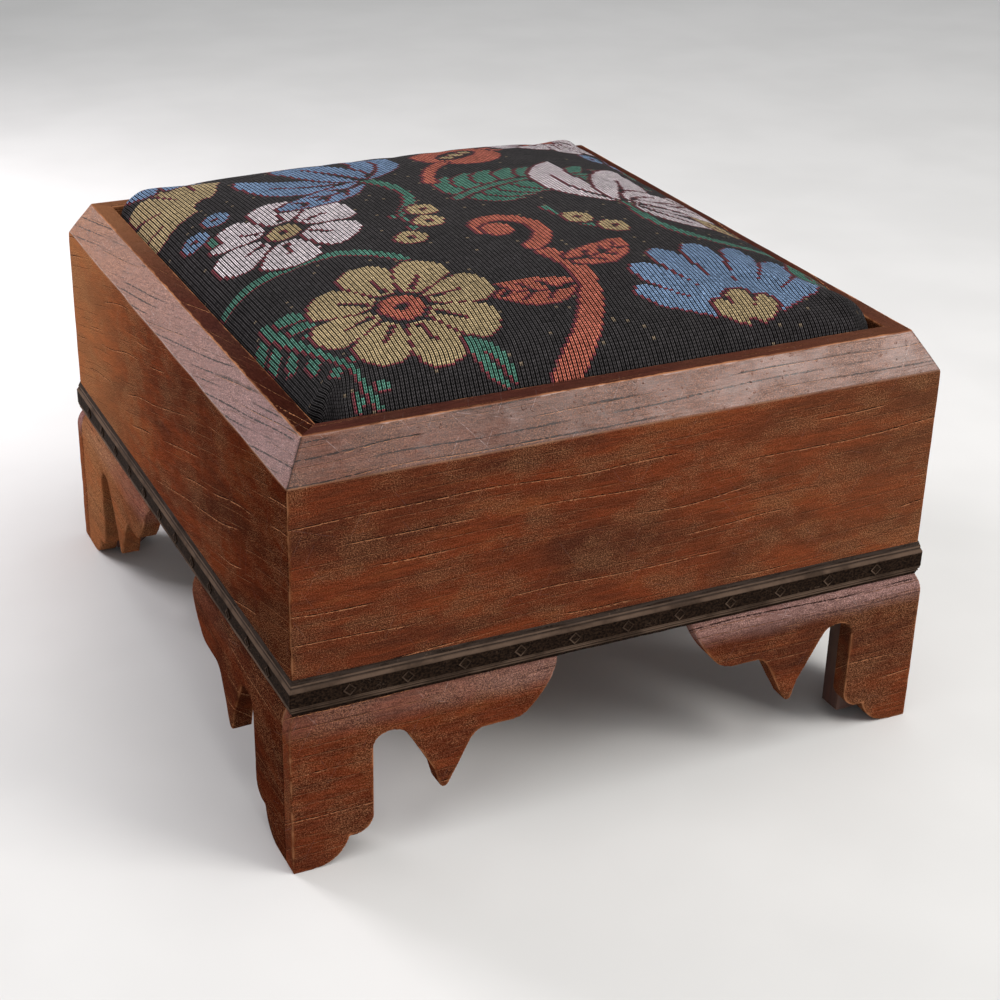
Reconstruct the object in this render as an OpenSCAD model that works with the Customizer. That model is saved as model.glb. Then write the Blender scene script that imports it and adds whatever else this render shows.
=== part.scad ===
// Footstool: a mitred mahogany box with a chamfered rim, a dark base moulding with a row of
// lozenges, scrolled bracket feet and an upholstered seat that lifts straight out.
// The origin is on the floor under the middle of the stool, +Z is up and the front faces -Y.

/* [Box] */
// Width of the box across its sides, along X
box_w = 360; // [330:2:390]
// Depth of the box across its sides, along Y
box_d = 390; // [360:2:420]
// Height of the rim above the floor
rim_h = 229; // [222:1:240]
// Thickness of the box boards
board_t = 23.3; // [21:0.1:26]
// How far the chamfer cuts in from the side of the box
chamfer_in = 12.3; // [8:0.1:14]
// How far the chamfer comes down the side of the box
chamfer_down = 19.8; // [14:0.1:24]
// Small flat that takes the sharpness off each arris
arris = 0.7; // [0.3:0.1:1.2]

/* [Base moulding] */
// Height of the moulding
moulding_h = 19.5; // [17:0.5:23]
// How far the moulding's band stands proud of the box
moulding_proud = 2; // [1.4:0.1:3]
// Depth of the rebate that the moulding sits in
moulding_seat = 8; // [6:0.5:10]
// Height of the moulding's plain band
band_h = 9; // [8:0.1:10]
// Radius of the two beads under the band
bead_r = 0.8; // [0.5:0.1:1]
// Width of a lozenge from point to point
lozenge_w = 7.5; // [6:0.1:8]
// How far a lozenge stands proud of the band
lozenge_proud = 0.5; // [0.3:0.1:0.8]
// Wanted spacing of the lozenges
lozenge_pitch = 30.2; // [20:0.1:40]

/* [Bracket feet] */
// Height of the feet, up to the moulding
foot_h = 90; // [86:1:98]
// Thickness of the bracket boards
bracket_t = 11; // [9:0.5:13]
// Length of a bracket from the foot's corner
bracket_len = 145; // [140:1:155]
// How far the feet stand proud of the box
foot_proud = 3.3; // [2.5:0.1:4]
// Height of the rolled shoulder under the moulding
shoulder_h = 11; // [8:0.5:13]
// Width of the post
post_w = 43.4; // [40:0.2:46]
// Radius of the toe's round
toe_r = 19.3; // [16:0.1:21]
// Radius of the round above the toe
heel_r = 10; // [8:0.1:12]
// How far the nook between the two rounds lies in from the post's inner edge
nook_in = 13.4; // [12:0.1:15]
// Height of the arch beside the post
arch_h = 70.6; // [68:0.2:73]
// Radius of the arch at the post
arch_post_r = 7.6; // [6:0.1:8]
// Radius of the arch at the pendant
arch_drop_r = 8.8; // [7:0.1:9]
// Distance of the pendant's tip from the foot's corner
pendant_at = 81.5; // [80:0.5:84]
// Height of the pendant's tip above the floor
pendant_h = 30.2; // [26:0.2:33]
// Radius of the pendant's tip
pendant_r = 2.6; // [2:0.1:3]
// Height of the wing's lower edge
wing_h = 60.2; // [57:0.2:63]
// Radius of the hollow between the pendant and the wing
hollow_r = 10; // [7:0.5:12]
// Radius of the wing's lower corner
wing_r = 14; // [10:0.5:16]
// Radius of the wing's long sweep up to the moulding
sweep_r = 73; // [60:1:90]

/* [Blocks and ledges] */
// Width of the glue block inside a foot
foot_block_w = 28; // [22:1:32]
// How far the glue block stops short of the floor
foot_block_lift = 6; // [3:1:12]
// Leg of the three-cornered glue block inside a corner of the box
corner_block_w = 24; // [18:1:30]
// How far the corner block stops short of the boards' lower edge
corner_block_lift = 10; // [4:1:20]
// Width of the ledge that the seat rests on
ledge_w = 18; // [14:1:22]
// Height of the ledge
ledge_h = 20; // [14:1:26]

/* [Lift-out seat] */
// Play between the covered seat and the box, on each side
seat_play = 0.9; // [0.5:0.1:1.5]
// Gap under the cloth where the seat rests on its ledge
rest_gap = 0.3; // [0.2:0.05:0.5]
// Thickness of the seat rails
rail_t = 18; // [15:0.5:22]
// Width of the seat rails
rail_w = 45; // [40:1:55]
// Depth of the rails' upper face below the rim
rail_drop = 8; // [6:0.5:12]
// Width of the webbing
web_w = 50; // [44:1:56]
// Thickness of the webbing
web_t = 1.6; // [1.2:0.1:2]
// Thickness of the hessian over the webs
hessian_t = 0.8; // [0.6:0.1:1.2]
// Thickness of the cover cloth
cloth_t = 1.2; // [0.8:0.1:1.6]
// Width of cloth turned under the rails
turn_under = 22; // [16:1:30]
// Corner radius of the covered seat
seat_corner_r = 14; // [10:0.5:18]
// Height above the rim that the edge roll reaches
edge_h = 13; // [9:0.5:16]
// Width of the edge roll
roll_w = 18; // [14:0.5:22]
// Rise of the crown above the edge roll
crown_h = 23; // [15:1:30]

/* [Hidden] */
$fn = 64;

mahogany = [0.42, 0.20, 0.12];
dark_moulding = [0.13, 0.10, 0.09];
pine = [0.70, 0.55, 0.36];
beech = [0.76, 0.60, 0.42];
jute = [0.66, 0.55, 0.38];
fibre = [0.45, 0.38, 0.28];
patterned_cloth = [0.30, 0.28, 0.29];

reach = 60;                                  // how deep a mitre cut goes
inner_w = box_w - 2 * board_t;               // opening of the box
inner_d = box_d - 2 * board_t;
foot_w = box_w + 2 * foot_proud;             // size over the feet
foot_d = box_d + 2 * foot_proud;
box_foot = foot_h + moulding_h;              // lower edge of the box's visible side

rail_top = rim_h - rail_drop;
rail_foot = rail_top - rail_t;
ledge_top = rail_foot - cloth_t - rest_gap;
ledge_foot = ledge_top - ledge_h;
cover_w = inner_w - 2 * seat_play;           // size over the covered seat
cover_d = inner_d - 2 * seat_play;
rail_play = 0.35;                            // air between the rails and the cloth
frame_w = cover_w - 2 * (cloth_t + rail_play); // size over the bare rails
frame_d = cover_d - 2 * (cloth_t + rail_play);
frame_r = seat_corner_r - cloth_t - rail_play;
web_count = 3;                               // as many webs across as along
web_play = 0.1;                              // air between crossing webs
web_ease = 2;                                // length of a web's slope beside a crossing
web_lap = 0.65;                              // share of a rail's width that a web covers
hessian_lap = 0.75;                          // the same for the hessian
web_top = rail_top + 2 * web_t + web_play;
hessian_top = web_top + hessian_t;
stuff_play = 0.3;                            // air between the stuffing and the cloth
roll_start = 2;                              // the edge roll starts this far below the rim
roll_foot = rim_h - roll_start;
roll_h = edge_h + roll_start;
crown_power = 2.4;                           // the higher, the flatter the crown's middle

// Points along an arc in the outline's plane
function arc(centre, r, from, to, steps = 8) =
    [for (i = [0 : steps]) let (a = from + (to - from) * i / steps)
        centre + r * [cos(a), sin(a)]];

function reversed(list) = [for (i = [len(list) - 1 : -1 : 0]) list[i]];

// Outline of a bracket: x runs along the box from the foot's corner and y is the height.
// It goes from the sole up the toe and heel rounds, over the arch, round the pendant's tip,
// through the hollow and up the wing.
nook_a = -17;                                // where the toe's round ends
nook_h = 14.6;                               // height of the nook
toe_c = [post_w - nook_in - toe_r * cos(nook_a), toe_r];
heel_c = [post_w - heel_r, nook_h + heel_r];
drop_a = 60;                                 // slopes of the pendant's two sides
rise_a = 62.4;
tip_a = 197;                                 // where the pendant's tip starts to turn
kink_in = 5.4;                               // where the pendant's side turns steeper
kink_up = 11.8;
kink = [pendant_at - kink_in, pendant_h + kink_up];
drop_z = arch_h - arch_drop_r * (1 - cos(drop_a));
drop_x = kink.x - (drop_z - kink.y) / tan(drop_a);
drop_c = [drop_x - arch_drop_r * sin(drop_a), arch_h - arch_drop_r];
tip_c = [pendant_at, pendant_h + pendant_r];
tip_end = tip_c + pendant_r * [sin(rise_a), -cos(rise_a)];
hollow_z = wing_h - hollow_r * (1 - cos(rise_a));
hollow_x = tip_end.x + (hollow_z - tip_end.y) / tan(rise_a);
hollow_c = [hollow_x + hollow_r * sin(rise_a), wing_h - hollow_r];
sweep_a = -45;                               // where the wing's corner becomes its sweep
sweep_z = wing_h + wing_r - (sweep_r - wing_r) * sin(sweep_a);
sweep_end = asin((foot_h - sweep_z) / sweep_r);
sweep_c = [bracket_len - sweep_r * cos(sweep_end), sweep_z];
wing_c = sweep_c + (sweep_r - wing_r) * [cos(sweep_a), sin(sweep_a)];

bracket_outline = concat(
    [[0, foot_h], [0, 0]],
    arc(toe_c, toe_r, -90, nook_a),
    arc(heel_c, heel_r, -110, 0),
    arc([post_w + arch_post_r, arch_h - arch_post_r], arch_post_r, 180, 90, 6),
    arc(drop_c, arch_drop_r, 90, 90 - drop_a, 6),
    [kink],
    arc(tip_c, pendant_r, tip_a, 270 + rise_a, 6),
    arc(hollow_c, hollow_r, 90 + rise_a, 90, 6),
    arc(wing_c, wing_r, -90, sweep_a, 5),
    arc(sweep_c, sweep_r, sweep_a, sweep_end, 6));

// Section of a box board: x is the depth in from the side and y is the height
board_section = [
    [moulding_seat, foot_h], [board_t, foot_h],
    [board_t, rim_h - arris], [board_t - arris, rim_h],
    [chamfer_in + arris, rim_h], [chamfer_in - arris * 0.4, rim_h - arris],
    [arris * 0.5, rim_h - chamfer_down + arris], [0, rim_h - chamfer_down - arris * 0.4],
    [0, box_foot], [moulding_seat, box_foot]];

// Section of the moulding: beads and band below, a step and a slope above
bead_foot = 1.6;                             // plain strip under the beads
band_foot = foot_h + 4 * bead_r + bead_foot;
band_top = band_foot + band_h;
cap_h = box_foot - band_top;
cap_steps = [[0.5, 0.5], [0.45, 0.36], [0.8, 0.12]]; // shares of moulding_proud and cap_h
bead_out = [0.5, 0.25];                      // how far the beads stand out, as such shares
strip_out = 0.1;
moulding_section = concat(
    [[moulding_seat, box_foot], [0, box_foot]],
    [for (s = cap_steps) [-s.x * moulding_proud, band_top + s.y * cap_h]],
    [[-moulding_proud, band_top], [-moulding_proud, band_foot]],
    arc([-bead_out[0] * moulding_proud, band_foot - bead_r], bead_r, 110, 250, 6),
    arc([-bead_out[1] * moulding_proud, band_foot - 3 * bead_r], bead_r, 110, 250, 6),
    [[-strip_out * moulding_proud, foot_h], [moulding_seat, foot_h]]);

// A section run along one side of the box and cut to a mitre at both ends.
// The side lies along X with its outer face at y = 0.
module mitred(length, section) {
    intersection() {
        translate([-length, 0, 0])
            rotate([90, 0, 90])
                linear_extrude(2 * length)
                    polygon(section);
        linear_extrude(rim_h + reach)
            polygon([[-length / 2 - reach, -reach], [length / 2 + reach, -reach],
                [length / 2 - reach, reach], [reach - length / 2, reach]]);
    }
}

// Places a side's piece, made along X, on one of the box's four sides
module on_side(side) {
    if (side == "front")
        translate([0, -box_d / 2, 0]) children();
    if (side == "back")
        rotate(180) translate([0, -box_d / 2, 0]) children();
    if (side == "left")
        rotate(-90) translate([0, -box_w / 2, 0]) children();
    if (side == "right")
        rotate(90) translate([0, -box_w / 2, 0]) children();
}

module box_board(side, length) {
    color(mahogany) on_side(side) mitred(length, board_section);
}

module board_front() { box_board("front", box_w); }
module board_back() { box_board("back", box_w); }
module board_left() { box_board("left", box_d); }
module board_right() { box_board("right", box_d); }

// A raised square set on its point, its face looking along -Y
module lozenge() {
    translate([0, -moulding_proud - lozenge_proud, band_foot + band_h / 2])
        rotate([-90, 45, 0])
            linear_extrude(2 * lozenge_proud)
                square(lozenge_w / sqrt(2), center = true);
}

module base_moulding(side, length) {
    run = length + 2 * moulding_proud;
    gaps = round(run / lozenge_pitch);
    color(dark_moulding) on_side(side) {
        mitred(length, moulding_section);
        for (i = [1 : gaps - 1])
            translate([i * run / gaps - run / 2, 0, 0]) lozenge();
    }
}

module moulding_front() { base_moulding("front", box_w); }
module moulding_back() { base_moulding("back", box_w); }
module moulding_left() { base_moulding("left", box_d); }
module moulding_right() { base_moulding("right", box_d); }

// End view of all the feet together: square below, with a rolled shoulder at each top corner
module shoulder_view(width) {
    roll_r = (pow(shoulder_h, 2) + pow(foot_proud, 2)) / (2 * foot_proud);
    start = foot_h - shoulder_h;
    intersection() {
        translate([-width / 2, 0]) square([width, foot_h]);
        union() {
            translate([-width / 2, 0]) square([width, start]);
            translate([roll_r - width / 2, 0]) square([width - 2 * roll_r, foot_h]);
            for (s = [-1, 1])
                translate([s * (width / 2 - roll_r), start]) circle(roll_r, $fn = 96);
        }
    }
}

// Everything that the feet may fill, shoulders included
module foot_envelope() {
    intersection() {
        translate([-foot_w / 2, 0, 0])
            rotate([90, 0, 90]) linear_extrude(foot_w) shoulder_view(foot_d);
        translate([0, foot_d / 2, 0])
            rotate([90, 0, 0]) linear_extrude(foot_d) shoulder_view(foot_w);
    }
}

// A bracket board with its outline along +X from the corner and its thickness along +Y
module bracket_board() {
    translate([0, bracket_t, 0])
        rotate([90, 0, 0]) linear_extrude(bracket_t) polygon(bracket_outline);
}

// The long brackets cover the ends of the side brackets, which start one board further in
module end_bracket(sx, sy) {
    color(mahogany) intersection() {
        foot_envelope();
        at_corner(sx, sy) translate([-foot_w / 2, -foot_d / 2, 0]) bracket_board();
    }
}

module side_bracket(sx, sy) {
    color(mahogany) intersection() {
        foot_envelope();
        at_corner(sx, sy)
            translate([-foot_w / 2, bracket_t - foot_d / 2, 0])
                mirror([1, -1, 0]) bracket_board();
    }
}

// Mirrors a piece made at the front left corner to the corner with these signs
module at_corner(sx, sy) {
    mirror([sx > 0 ? 1 : 0, 0, 0]) mirror([0, sy > 0 ? 1 : 0, 0]) children();
}

module front_bracket_left() { end_bracket(-1, -1); }
module front_bracket_right() { end_bracket(1, -1); }
module back_bracket_left() { end_bracket(-1, 1); }
module back_bracket_right() { end_bracket(1, 1); }
module left_bracket_front() { side_bracket(-1, -1); }
module left_bracket_back() { side_bracket(-1, 1); }
module right_bracket_front() { side_bracket(1, -1); }
module right_bracket_back() { side_bracket(1, 1); }

// Glue block that stiffens the corner of a foot and carries the box
module foot_block(sx, sy) {
    w = foot_block_w;
    color(pine) at_corner(sx, sy)
        translate([bracket_t - foot_w / 2, bracket_t - foot_d / 2, foot_block_lift])
            linear_extrude(foot_h - foot_block_lift)
                polygon([[0, 0], [w, 0], [w, w / 2], [w / 2, w], [0, w]]);
}

module foot_block_front_left() { foot_block(-1, -1); }
module foot_block_front_right() { foot_block(1, -1); }
module foot_block_back_left() { foot_block(-1, 1); }
module foot_block_back_right() { foot_block(1, 1); }

// Three-cornered glue block behind a mitre of the box, under the ledges
module corner_block(sx, sy) {
    w = corner_block_w;
    start = foot_h + corner_block_lift;
    color(pine) at_corner(sx, sy)
        translate([-inner_w / 2, -inner_d / 2, start])
            linear_extrude(ledge_foot - start)
                polygon([[0, 0], [w, 0], [0, w]]);
}

module corner_block_front_left() { corner_block(-1, -1); }
module corner_block_front_right() { corner_block(1, -1); }
module corner_block_back_left() { corner_block(-1, 1); }
module corner_block_back_right() { corner_block(1, 1); }

// Ledges screwed to the inside of the boards; the side ones fit between the other two
module long_ledge(sy) {
    color(pine) at_corner(-1, sy)
        translate([-inner_w / 2, -inner_d / 2, ledge_foot])
            cube([inner_w, ledge_w, ledge_h]);
}

module side_ledge(sx) {
    color(pine) at_corner(sx, -1)
        translate([-inner_w / 2, ledge_w - inner_d / 2, ledge_foot])
            cube([ledge_w, inner_d - 2 * ledge_w, ledge_h]);
}

module ledge_front() { long_ledge(-1); }
module ledge_back() { long_ledge(1); }
module ledge_left() { side_ledge(-1); }
module ledge_right() { side_ledge(1); }

module rounded_rect(w, d, r) {
    square([w - 2 * r, d], center = true);
    square([w, d - 2 * r], center = true);
    for (sx = [-1, 1], sy = [-1, 1])
        translate([sx * (w / 2 - r), sy * (d / 2 - r)]) circle(r);
}

// One end or side of the seat frame, between two heights
module rail_layer(w, d, x0, x1, y0, y1, z0, z1) {
    translate([0, 0, z0])
        linear_extrude(z1 - z0)
            intersection() {
                rounded_rect(w, d, frame_r);
                translate([x0, y0]) square([x1 - x0, y1 - y0]);
            }
}

// The rails are halved into each other: end rails keep the lower half at the corners
module end_rail(sy) {
    in = frame_w / 2 - rail_w;
    mid = (rail_top + rail_foot) / 2;
    color(beech) at_corner(-1, sy) {
        rail_layer(frame_w, frame_d, -frame_w / 2, frame_w / 2,
            -frame_d / 2, rail_w - frame_d / 2, rail_foot, mid);
        rail_layer(frame_w, frame_d, -in, in,
            -frame_d / 2, rail_w - frame_d / 2, mid, rail_top);
    }
}

module side_rail(sx) {
    in = frame_d / 2 - rail_w;
    mid = (rail_top + rail_foot) / 2;
    color(beech) at_corner(sx, -1) {
        rail_layer(frame_w, frame_d, -frame_w / 2, rail_w - frame_w / 2,
            -in, in, rail_foot, mid);
        rail_layer(frame_w, frame_d, -frame_w / 2, rail_w - frame_w / 2,
            -frame_d / 2, frame_d / 2, mid, rail_top);
    }
}

module seat_rail_front() { end_rail(-1); }
module seat_rail_back() { end_rail(1); }
module seat_rail_left() { side_rail(-1); }
module seat_rail_right() { side_rail(1); }

// Outline of one web seen from its edge: it climbs over and dips under the webs that it
// crosses. The first crossing is over when first is 1 and under when it is 0.
function web_edge(length, pitch, first, lift) = [
    for (i = [-1 : web_count])
        let (mid = (i - (web_count - 1) / 2) * pitch,
            up = i < 0 || i == web_count ? 0 : (i + first) % 2,
            half = web_w / 2 + web_ease,
            x0 = i < 0 ? -length / 2 : mid - half,
            x1 = i == web_count ? length / 2 : mid + half,
            z = lift + up * (web_t + web_play))
        if (i < 0) [x0, z]
        else if (i == web_count) [x1, z]
        else each [[x0, z], [x1, z]]];

module web(length, pitch, first) {
    low = web_edge(length, pitch, first, 0);
    high = web_edge(length, pitch, first, web_t);
    color(jute) translate([0, web_w / 2, rail_top])
        rotate([90, 0, 0])
            linear_extrude(web_w)
                polygon(concat(low, reversed(high)));
}

// Interlaced webs tacked to the top of the rails
web_pitch_x = (frame_w - 2 * rail_w) / web_count;
web_pitch_y = (frame_d - 2 * rail_w) / web_count;
lap_in = 2 * (1 - web_lap) * rail_w;

module web_across(place) {
    translate([0, place * web_pitch_y, 0])
        web(frame_w - lap_in, web_pitch_x, abs(place + 1) % 2);
}

module web_along(place) {
    translate([place * web_pitch_x, 0, 0])
        rotate(90) web(frame_d - lap_in, web_pitch_y, abs(place) % 2);
}

module web_across_front() { web_across(-1); }
module web_across_middle() { web_across(0); }
module web_across_back() { web_across(1); }
module web_along_left() { web_along(-1); }
module web_along_middle() { web_along(0); }
module web_along_right() { web_along(1); }

module hessian() {
    lap = 2 * (1 - hessian_lap) * rail_w;
    color(jute) translate([0, 0, web_top])
        linear_extrude(hessian_t)
            rounded_rect(frame_w - lap, frame_d - lap, frame_r);
}

// One level ring round the seat, with its sides drawn in by inset
corner_steps = 4;
side_steps = 5;
function ring(inset) =
    let (hx = cover_w / 2 - inset, hy = cover_d / 2 - inset,
        r = max(seat_corner_r - inset, 1),
        corners = [[hx - r, hy - r], [r - hx, hy - r], [r - hx, r - hy], [hx - r, r - hy]])
    [for (q = [0 : 3]) each concat(
        arc(corners[q], r, q * 90, q * 90 + 90, corner_steps),
        let (a = corners[q] + r * [cos(q * 90 + 90), sin(q * 90 + 90)],
            b = corners[(q + 1) % 4] + r * [cos(q * 90 + 90), sin(q * 90 + 90)])
        [for (i = [1 : side_steps - 1]) a + (b - a) * i / side_steps])];

// Height that the crown adds at a point of the seat
function crown(p) = crown_h
    * (1 - pow(min(1, abs(2 * p.x / cover_w)), crown_power))
    * (1 - pow(min(1, abs(2 * p.y / cover_d)), crown_power));

function level(points, z) = [for (p = points) [p.x, p.y, z]];
function domed(points, z) = [for (p = points) [p.x, p.y, z + crown(p)]];

// Rings from near the middle of the top, out over the edge roll and down its side.
// The surface lies skin inside the outside of the cloth.
top_rings = [0.12, 0.28, 0.44, 0.6, 0.74, 0.88];
roll_steps = 5;
function dome_rings(skin) = concat(
    [for (f = top_rings)
        domed([for (p = ring(roll_w)) f * p], roll_foot + roll_h - skin)],
    [for (i = [roll_steps : -1 : 0])
        let (a = i * 90 / roll_steps)
        domed(ring(skin + (roll_w - skin) * (1 - cos(a))),
            roll_foot + (roll_h - skin) * sin(a))]);

// Solid skinned over a list of rings, closed by a point at each end. From the ring called turn
// on, where a skin runs back inside itself, the faces are split along the other diagonal, so
// that they lie under the outer ones.
module skin_over(rings, first, last, turn) {
    n = len(rings[0]);
    m = len(rings);
    points = concat([first], [for (r = rings) each r], [last]);
    polyhedron(points, concat(
        [for (i = [0 : n - 1]) [0, 1 + i, 1 + (i + 1) % n]],
        [for (k = [0 : m - 2], i = [0 : n - 1])
            let (a = 1 + k * n + i, b = a + n,
                d = 1 + k * n + (i + 1) % n, c = d + n)
            each k < turn ? [[a, b, d], [d, b, c]] : [[a, b, c], [a, c, d]]],
        [for (i = [0 : n - 1])
            [1 + m * n, 1 + (m - 1) * n + (i + 1) % n, 1 + (m - 1) * n + i]]));
}

function crown_point(skin) = [0, 0, roll_foot + roll_h - skin + crown_h];

module stuffing() {
    skin = cloth_t + stuff_play;
    foot = hessian_top + stuff_play;
    rings = concat(dome_rings(skin), [level(ring(skin), foot), level(0.5 * ring(skin), foot)]);
    color(fibre) skin_over(rings, crown_point(skin), [0, 0, foot], len(rings));
}

// Cloth over the stuffing and down round the rails, turned under them all round
module seat_cover() {
    outside = concat(dome_rings(0),
        [level(ring(0), rail_foot - cloth_t), level(ring(turn_under), rail_foot - cloth_t)]);
    inside = concat(dome_rings(cloth_t),
        [level(ring(cloth_t), rail_foot), level(ring(turn_under), rail_foot)]);
    color(patterned_cloth) skin_over(concat(outside, reversed(inside)),
        crown_point(0), crown_point(cloth_t), len(outside));
}

board_front();
board_back();
board_left();
board_right();
moulding_front();
moulding_back();
moulding_left();
moulding_right();
front_bracket_left();
front_bracket_right();
back_bracket_left();
back_bracket_right();
left_bracket_front();
left_bracket_back();
right_bracket_front();
right_bracket_back();
foot_block_front_left();
foot_block_front_right();
foot_block_back_left();
foot_block_back_right();
corner_block_front_left();
corner_block_front_right();
corner_block_back_left();
corner_block_back_right();
ledge_front();
ledge_back();
ledge_left();
ledge_right();
seat_rail_front();
seat_rail_back();
seat_rail_left();
seat_rail_right();
web_across_front();
web_across_middle();
web_across_back();
web_along_left();
web_along_middle();
web_along_right();
hessian();
stuffing();
seat_cover();
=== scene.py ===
import itertools
import math

import bmesh
import bpy
import numpy as np
from mathutils import Matrix, Vector
from mathutils.bvhtree import BVHTree


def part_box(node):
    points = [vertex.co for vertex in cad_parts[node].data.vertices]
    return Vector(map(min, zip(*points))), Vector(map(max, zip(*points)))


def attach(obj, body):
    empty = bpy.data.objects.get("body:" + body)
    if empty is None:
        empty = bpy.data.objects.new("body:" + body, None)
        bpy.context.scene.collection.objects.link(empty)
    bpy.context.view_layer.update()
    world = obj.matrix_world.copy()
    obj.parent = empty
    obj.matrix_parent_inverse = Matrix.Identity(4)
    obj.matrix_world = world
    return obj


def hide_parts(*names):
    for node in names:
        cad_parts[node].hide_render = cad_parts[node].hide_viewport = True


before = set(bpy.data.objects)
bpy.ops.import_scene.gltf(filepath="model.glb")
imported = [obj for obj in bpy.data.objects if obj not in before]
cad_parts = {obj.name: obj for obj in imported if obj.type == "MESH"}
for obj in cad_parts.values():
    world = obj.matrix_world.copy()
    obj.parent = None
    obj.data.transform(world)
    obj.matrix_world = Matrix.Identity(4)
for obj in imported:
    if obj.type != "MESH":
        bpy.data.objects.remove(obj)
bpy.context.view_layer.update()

mm = 0.001
scene = bpy.context.scene
crossSides = ("front", "back")      # these run along X
sides = crossSides + ("left", "right")


# Camera and light

camera = {
    "place": (-0.4340, -0.9248, 0.5914),
    "yaw": 24.647,          # degrees to the right of +Y
    "pitch": -26.609,
    "roll": 0.709,
    "lens": 69.125,
    "sensor": 36,
    "shiftX": 0.05,
    "nearest": 0.01,
}

studio = {
    "aim": (0, 0, 0.13),    # where the lamps point
    "skyStrength": 0.36,
    "skyColour": (0.95, 0.96, 1.0),
    "backdrop": (0.86, 0.86, 0.85),
    "key": {"place": (1.35, -1.45, 1.35), "size": 1.0, "power": 30, "colour": (1.0, 0.965, 0.93)},
    "rim": {"place": (-0.70, 0.95, 0.52), "size": 0.45, "power": 12, "colour": (1.0, 0.95, 0.98),
            "glossy": False},
    "top": {"place": (0.25, -0.45, 2.2), "size": 1.6, "power": 27, "colour": (1.0, 0.99, 0.97)},
}


def setCamera():
    data = bpy.data.cameras.new("camera")
    eye = bpy.data.objects.new("camera", data)
    scene.collection.objects.link(eye)
    eye.matrix_world = Matrix.Translation(camera["place"])
    for degrees, axis in ((-camera["yaw"], "Z"), (90 + camera["pitch"], "X"),
                          (camera["roll"], "Z")):
        eye.matrix_world @= Matrix.Rotation(math.radians(degrees), 4, axis)
    data.sensor_width = camera["sensor"]
    data.lens = camera["lens"]
    data.shift_x = camera["shiftX"]
    data.clip_start = camera["nearest"]
    scene.camera = eye


def addLamp(name, lamp):
    data = bpy.data.lights.new(name, "AREA")
    data.size = lamp["size"]
    data.energy = lamp["power"]
    data.color = lamp["colour"]
    lampObject = bpy.data.objects.new(name, data)
    lampObject.location = lamp["place"]
    aim = Vector(studio["aim"]) - Vector(lamp["place"])
    lampObject.rotation_euler = aim.to_track_quat("-Z", "Y").to_euler()
    lampObject.visible_camera = False
    lampObject.visible_glossy = lamp.get("glossy", True)
    scene.collection.objects.link(lampObject)


# Writing finishes

desk = {}       # the material or world that is being written, and its tree


# A value on its way from one node to the next. Sums with it put Math nodes in the tree.
class Flow:
    def __init__(self, socket):
        self.socket = socket

    def __add__(self, other):
        return calc("ADD", self, other)

    def __sub__(self, other):
        return calc("SUBTRACT", self, other)

    def __mul__(self, other):
        return calc("MULTIPLY", self, other)

    def __truediv__(self, other):
        return calc("DIVIDE", self, other)

    def __lt__(self, other):
        return calc("LESS_THAN", self, other)

    def __abs__(self):
        return calc("ABSOLUTE", self)


def startTree(owner):
    owner.use_nodes = True
    owner.node_tree.nodes.clear()
    desk["owner"], desk["tree"] = owner, owner.node_tree


def startFinish(name):
    startTree(bpy.data.materials.new(name))


# One node. fed holds what goes into its sockets, by name or number.
def put(kind, fed=None, **settings):
    node = desk["tree"].nodes.new("ShaderNode" + kind)
    for key, value in settings.items():
        setattr(node, key, value)
    for key, value in (fed or {}).items():
        if isinstance(value, Flow):
            desk["tree"].links.new(value.socket, node.inputs[key])
        else:
            node.inputs[key].default_value = value
    return node


# One node of which one output is used
def take(output, kind, fed=None, **settings):
    return Flow(put(kind, fed, **settings).outputs[output])


def calc(operation, a, b=0.0):
    return take(0, "Math", {0: a, 1: b}, operation=operation)


def blend(amount, a, b, how="MIX"):
    a, b = (x if isinstance(x, Flow) else (*x, 1) for x in (a, b))
    return take(2, "Mix", {0: amount, 6: a, 7: b}, data_type="RGBA", blend_type=how)


def tinted(tone, tint):
    return blend(1.0, tone, tint, "MULTIPLY")


def between(value, low, high, a=0.0, b=1.0):
    fed = {"Value": value, "From Min": low, "From Max": high, "To Min": a, "To Max": b}
    return take(0, "MapRange", fed, interpolation_type="SMOOTHSTEP")


# Noise with so many lumps to a metre along the grain and across it
def cloud(coords, along, across, detail=2.0, rough=0.5, warp=0.0):
    stretched = take(0, "VectorMath", {0: coords, 1: (along, across, across)}, operation="MULTIPLY")
    fed = {"Vector": stretched, "Scale": 1.0, "Detail": detail, "Roughness": rough,
           "Distortion": warp}
    return take("Fac", "TexNoise", fed)


# Thin wandering lines where a cloud passes through its middle
def lines(value, width):
    return between(abs(value - 0.5), 0.0, width, 1.0, 0.0)


def toneRamp(value, stops):
    node = put("ValToRGB", {0: value})
    bar = node.color_ramp.elements
    while len(bar) < len(stops):
        bar.new(0.5)
    for element, (place, colour) in zip(bar, stops.items()):
        element.position = place
        element.color = (*colour, 1)
    return Flow(node.outputs[0])


def apart(vector):
    return [Flow(part) for part in put("SeparateXYZ", {0: vector}).outputs]


def ofPiece(name, output="Fac"):
    return take(output, "Attribute", attribute_name=name)


# Coordinates in metres with the grain along X: from the piece, or for a CAD piece from its place
def grainCoords(along=None):
    if along is None:
        return ofPiece("grain", "Vector")
    turns = {"x": (0, 0, 0), "y": (0, 0, -math.pi / 2), "z": (0, math.pi / 2, 0)}
    fed = {"Vector": take("Object", "TexCoord"), "Rotation": turns[along]}
    return take(0, "Mapping", fed)


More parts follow.
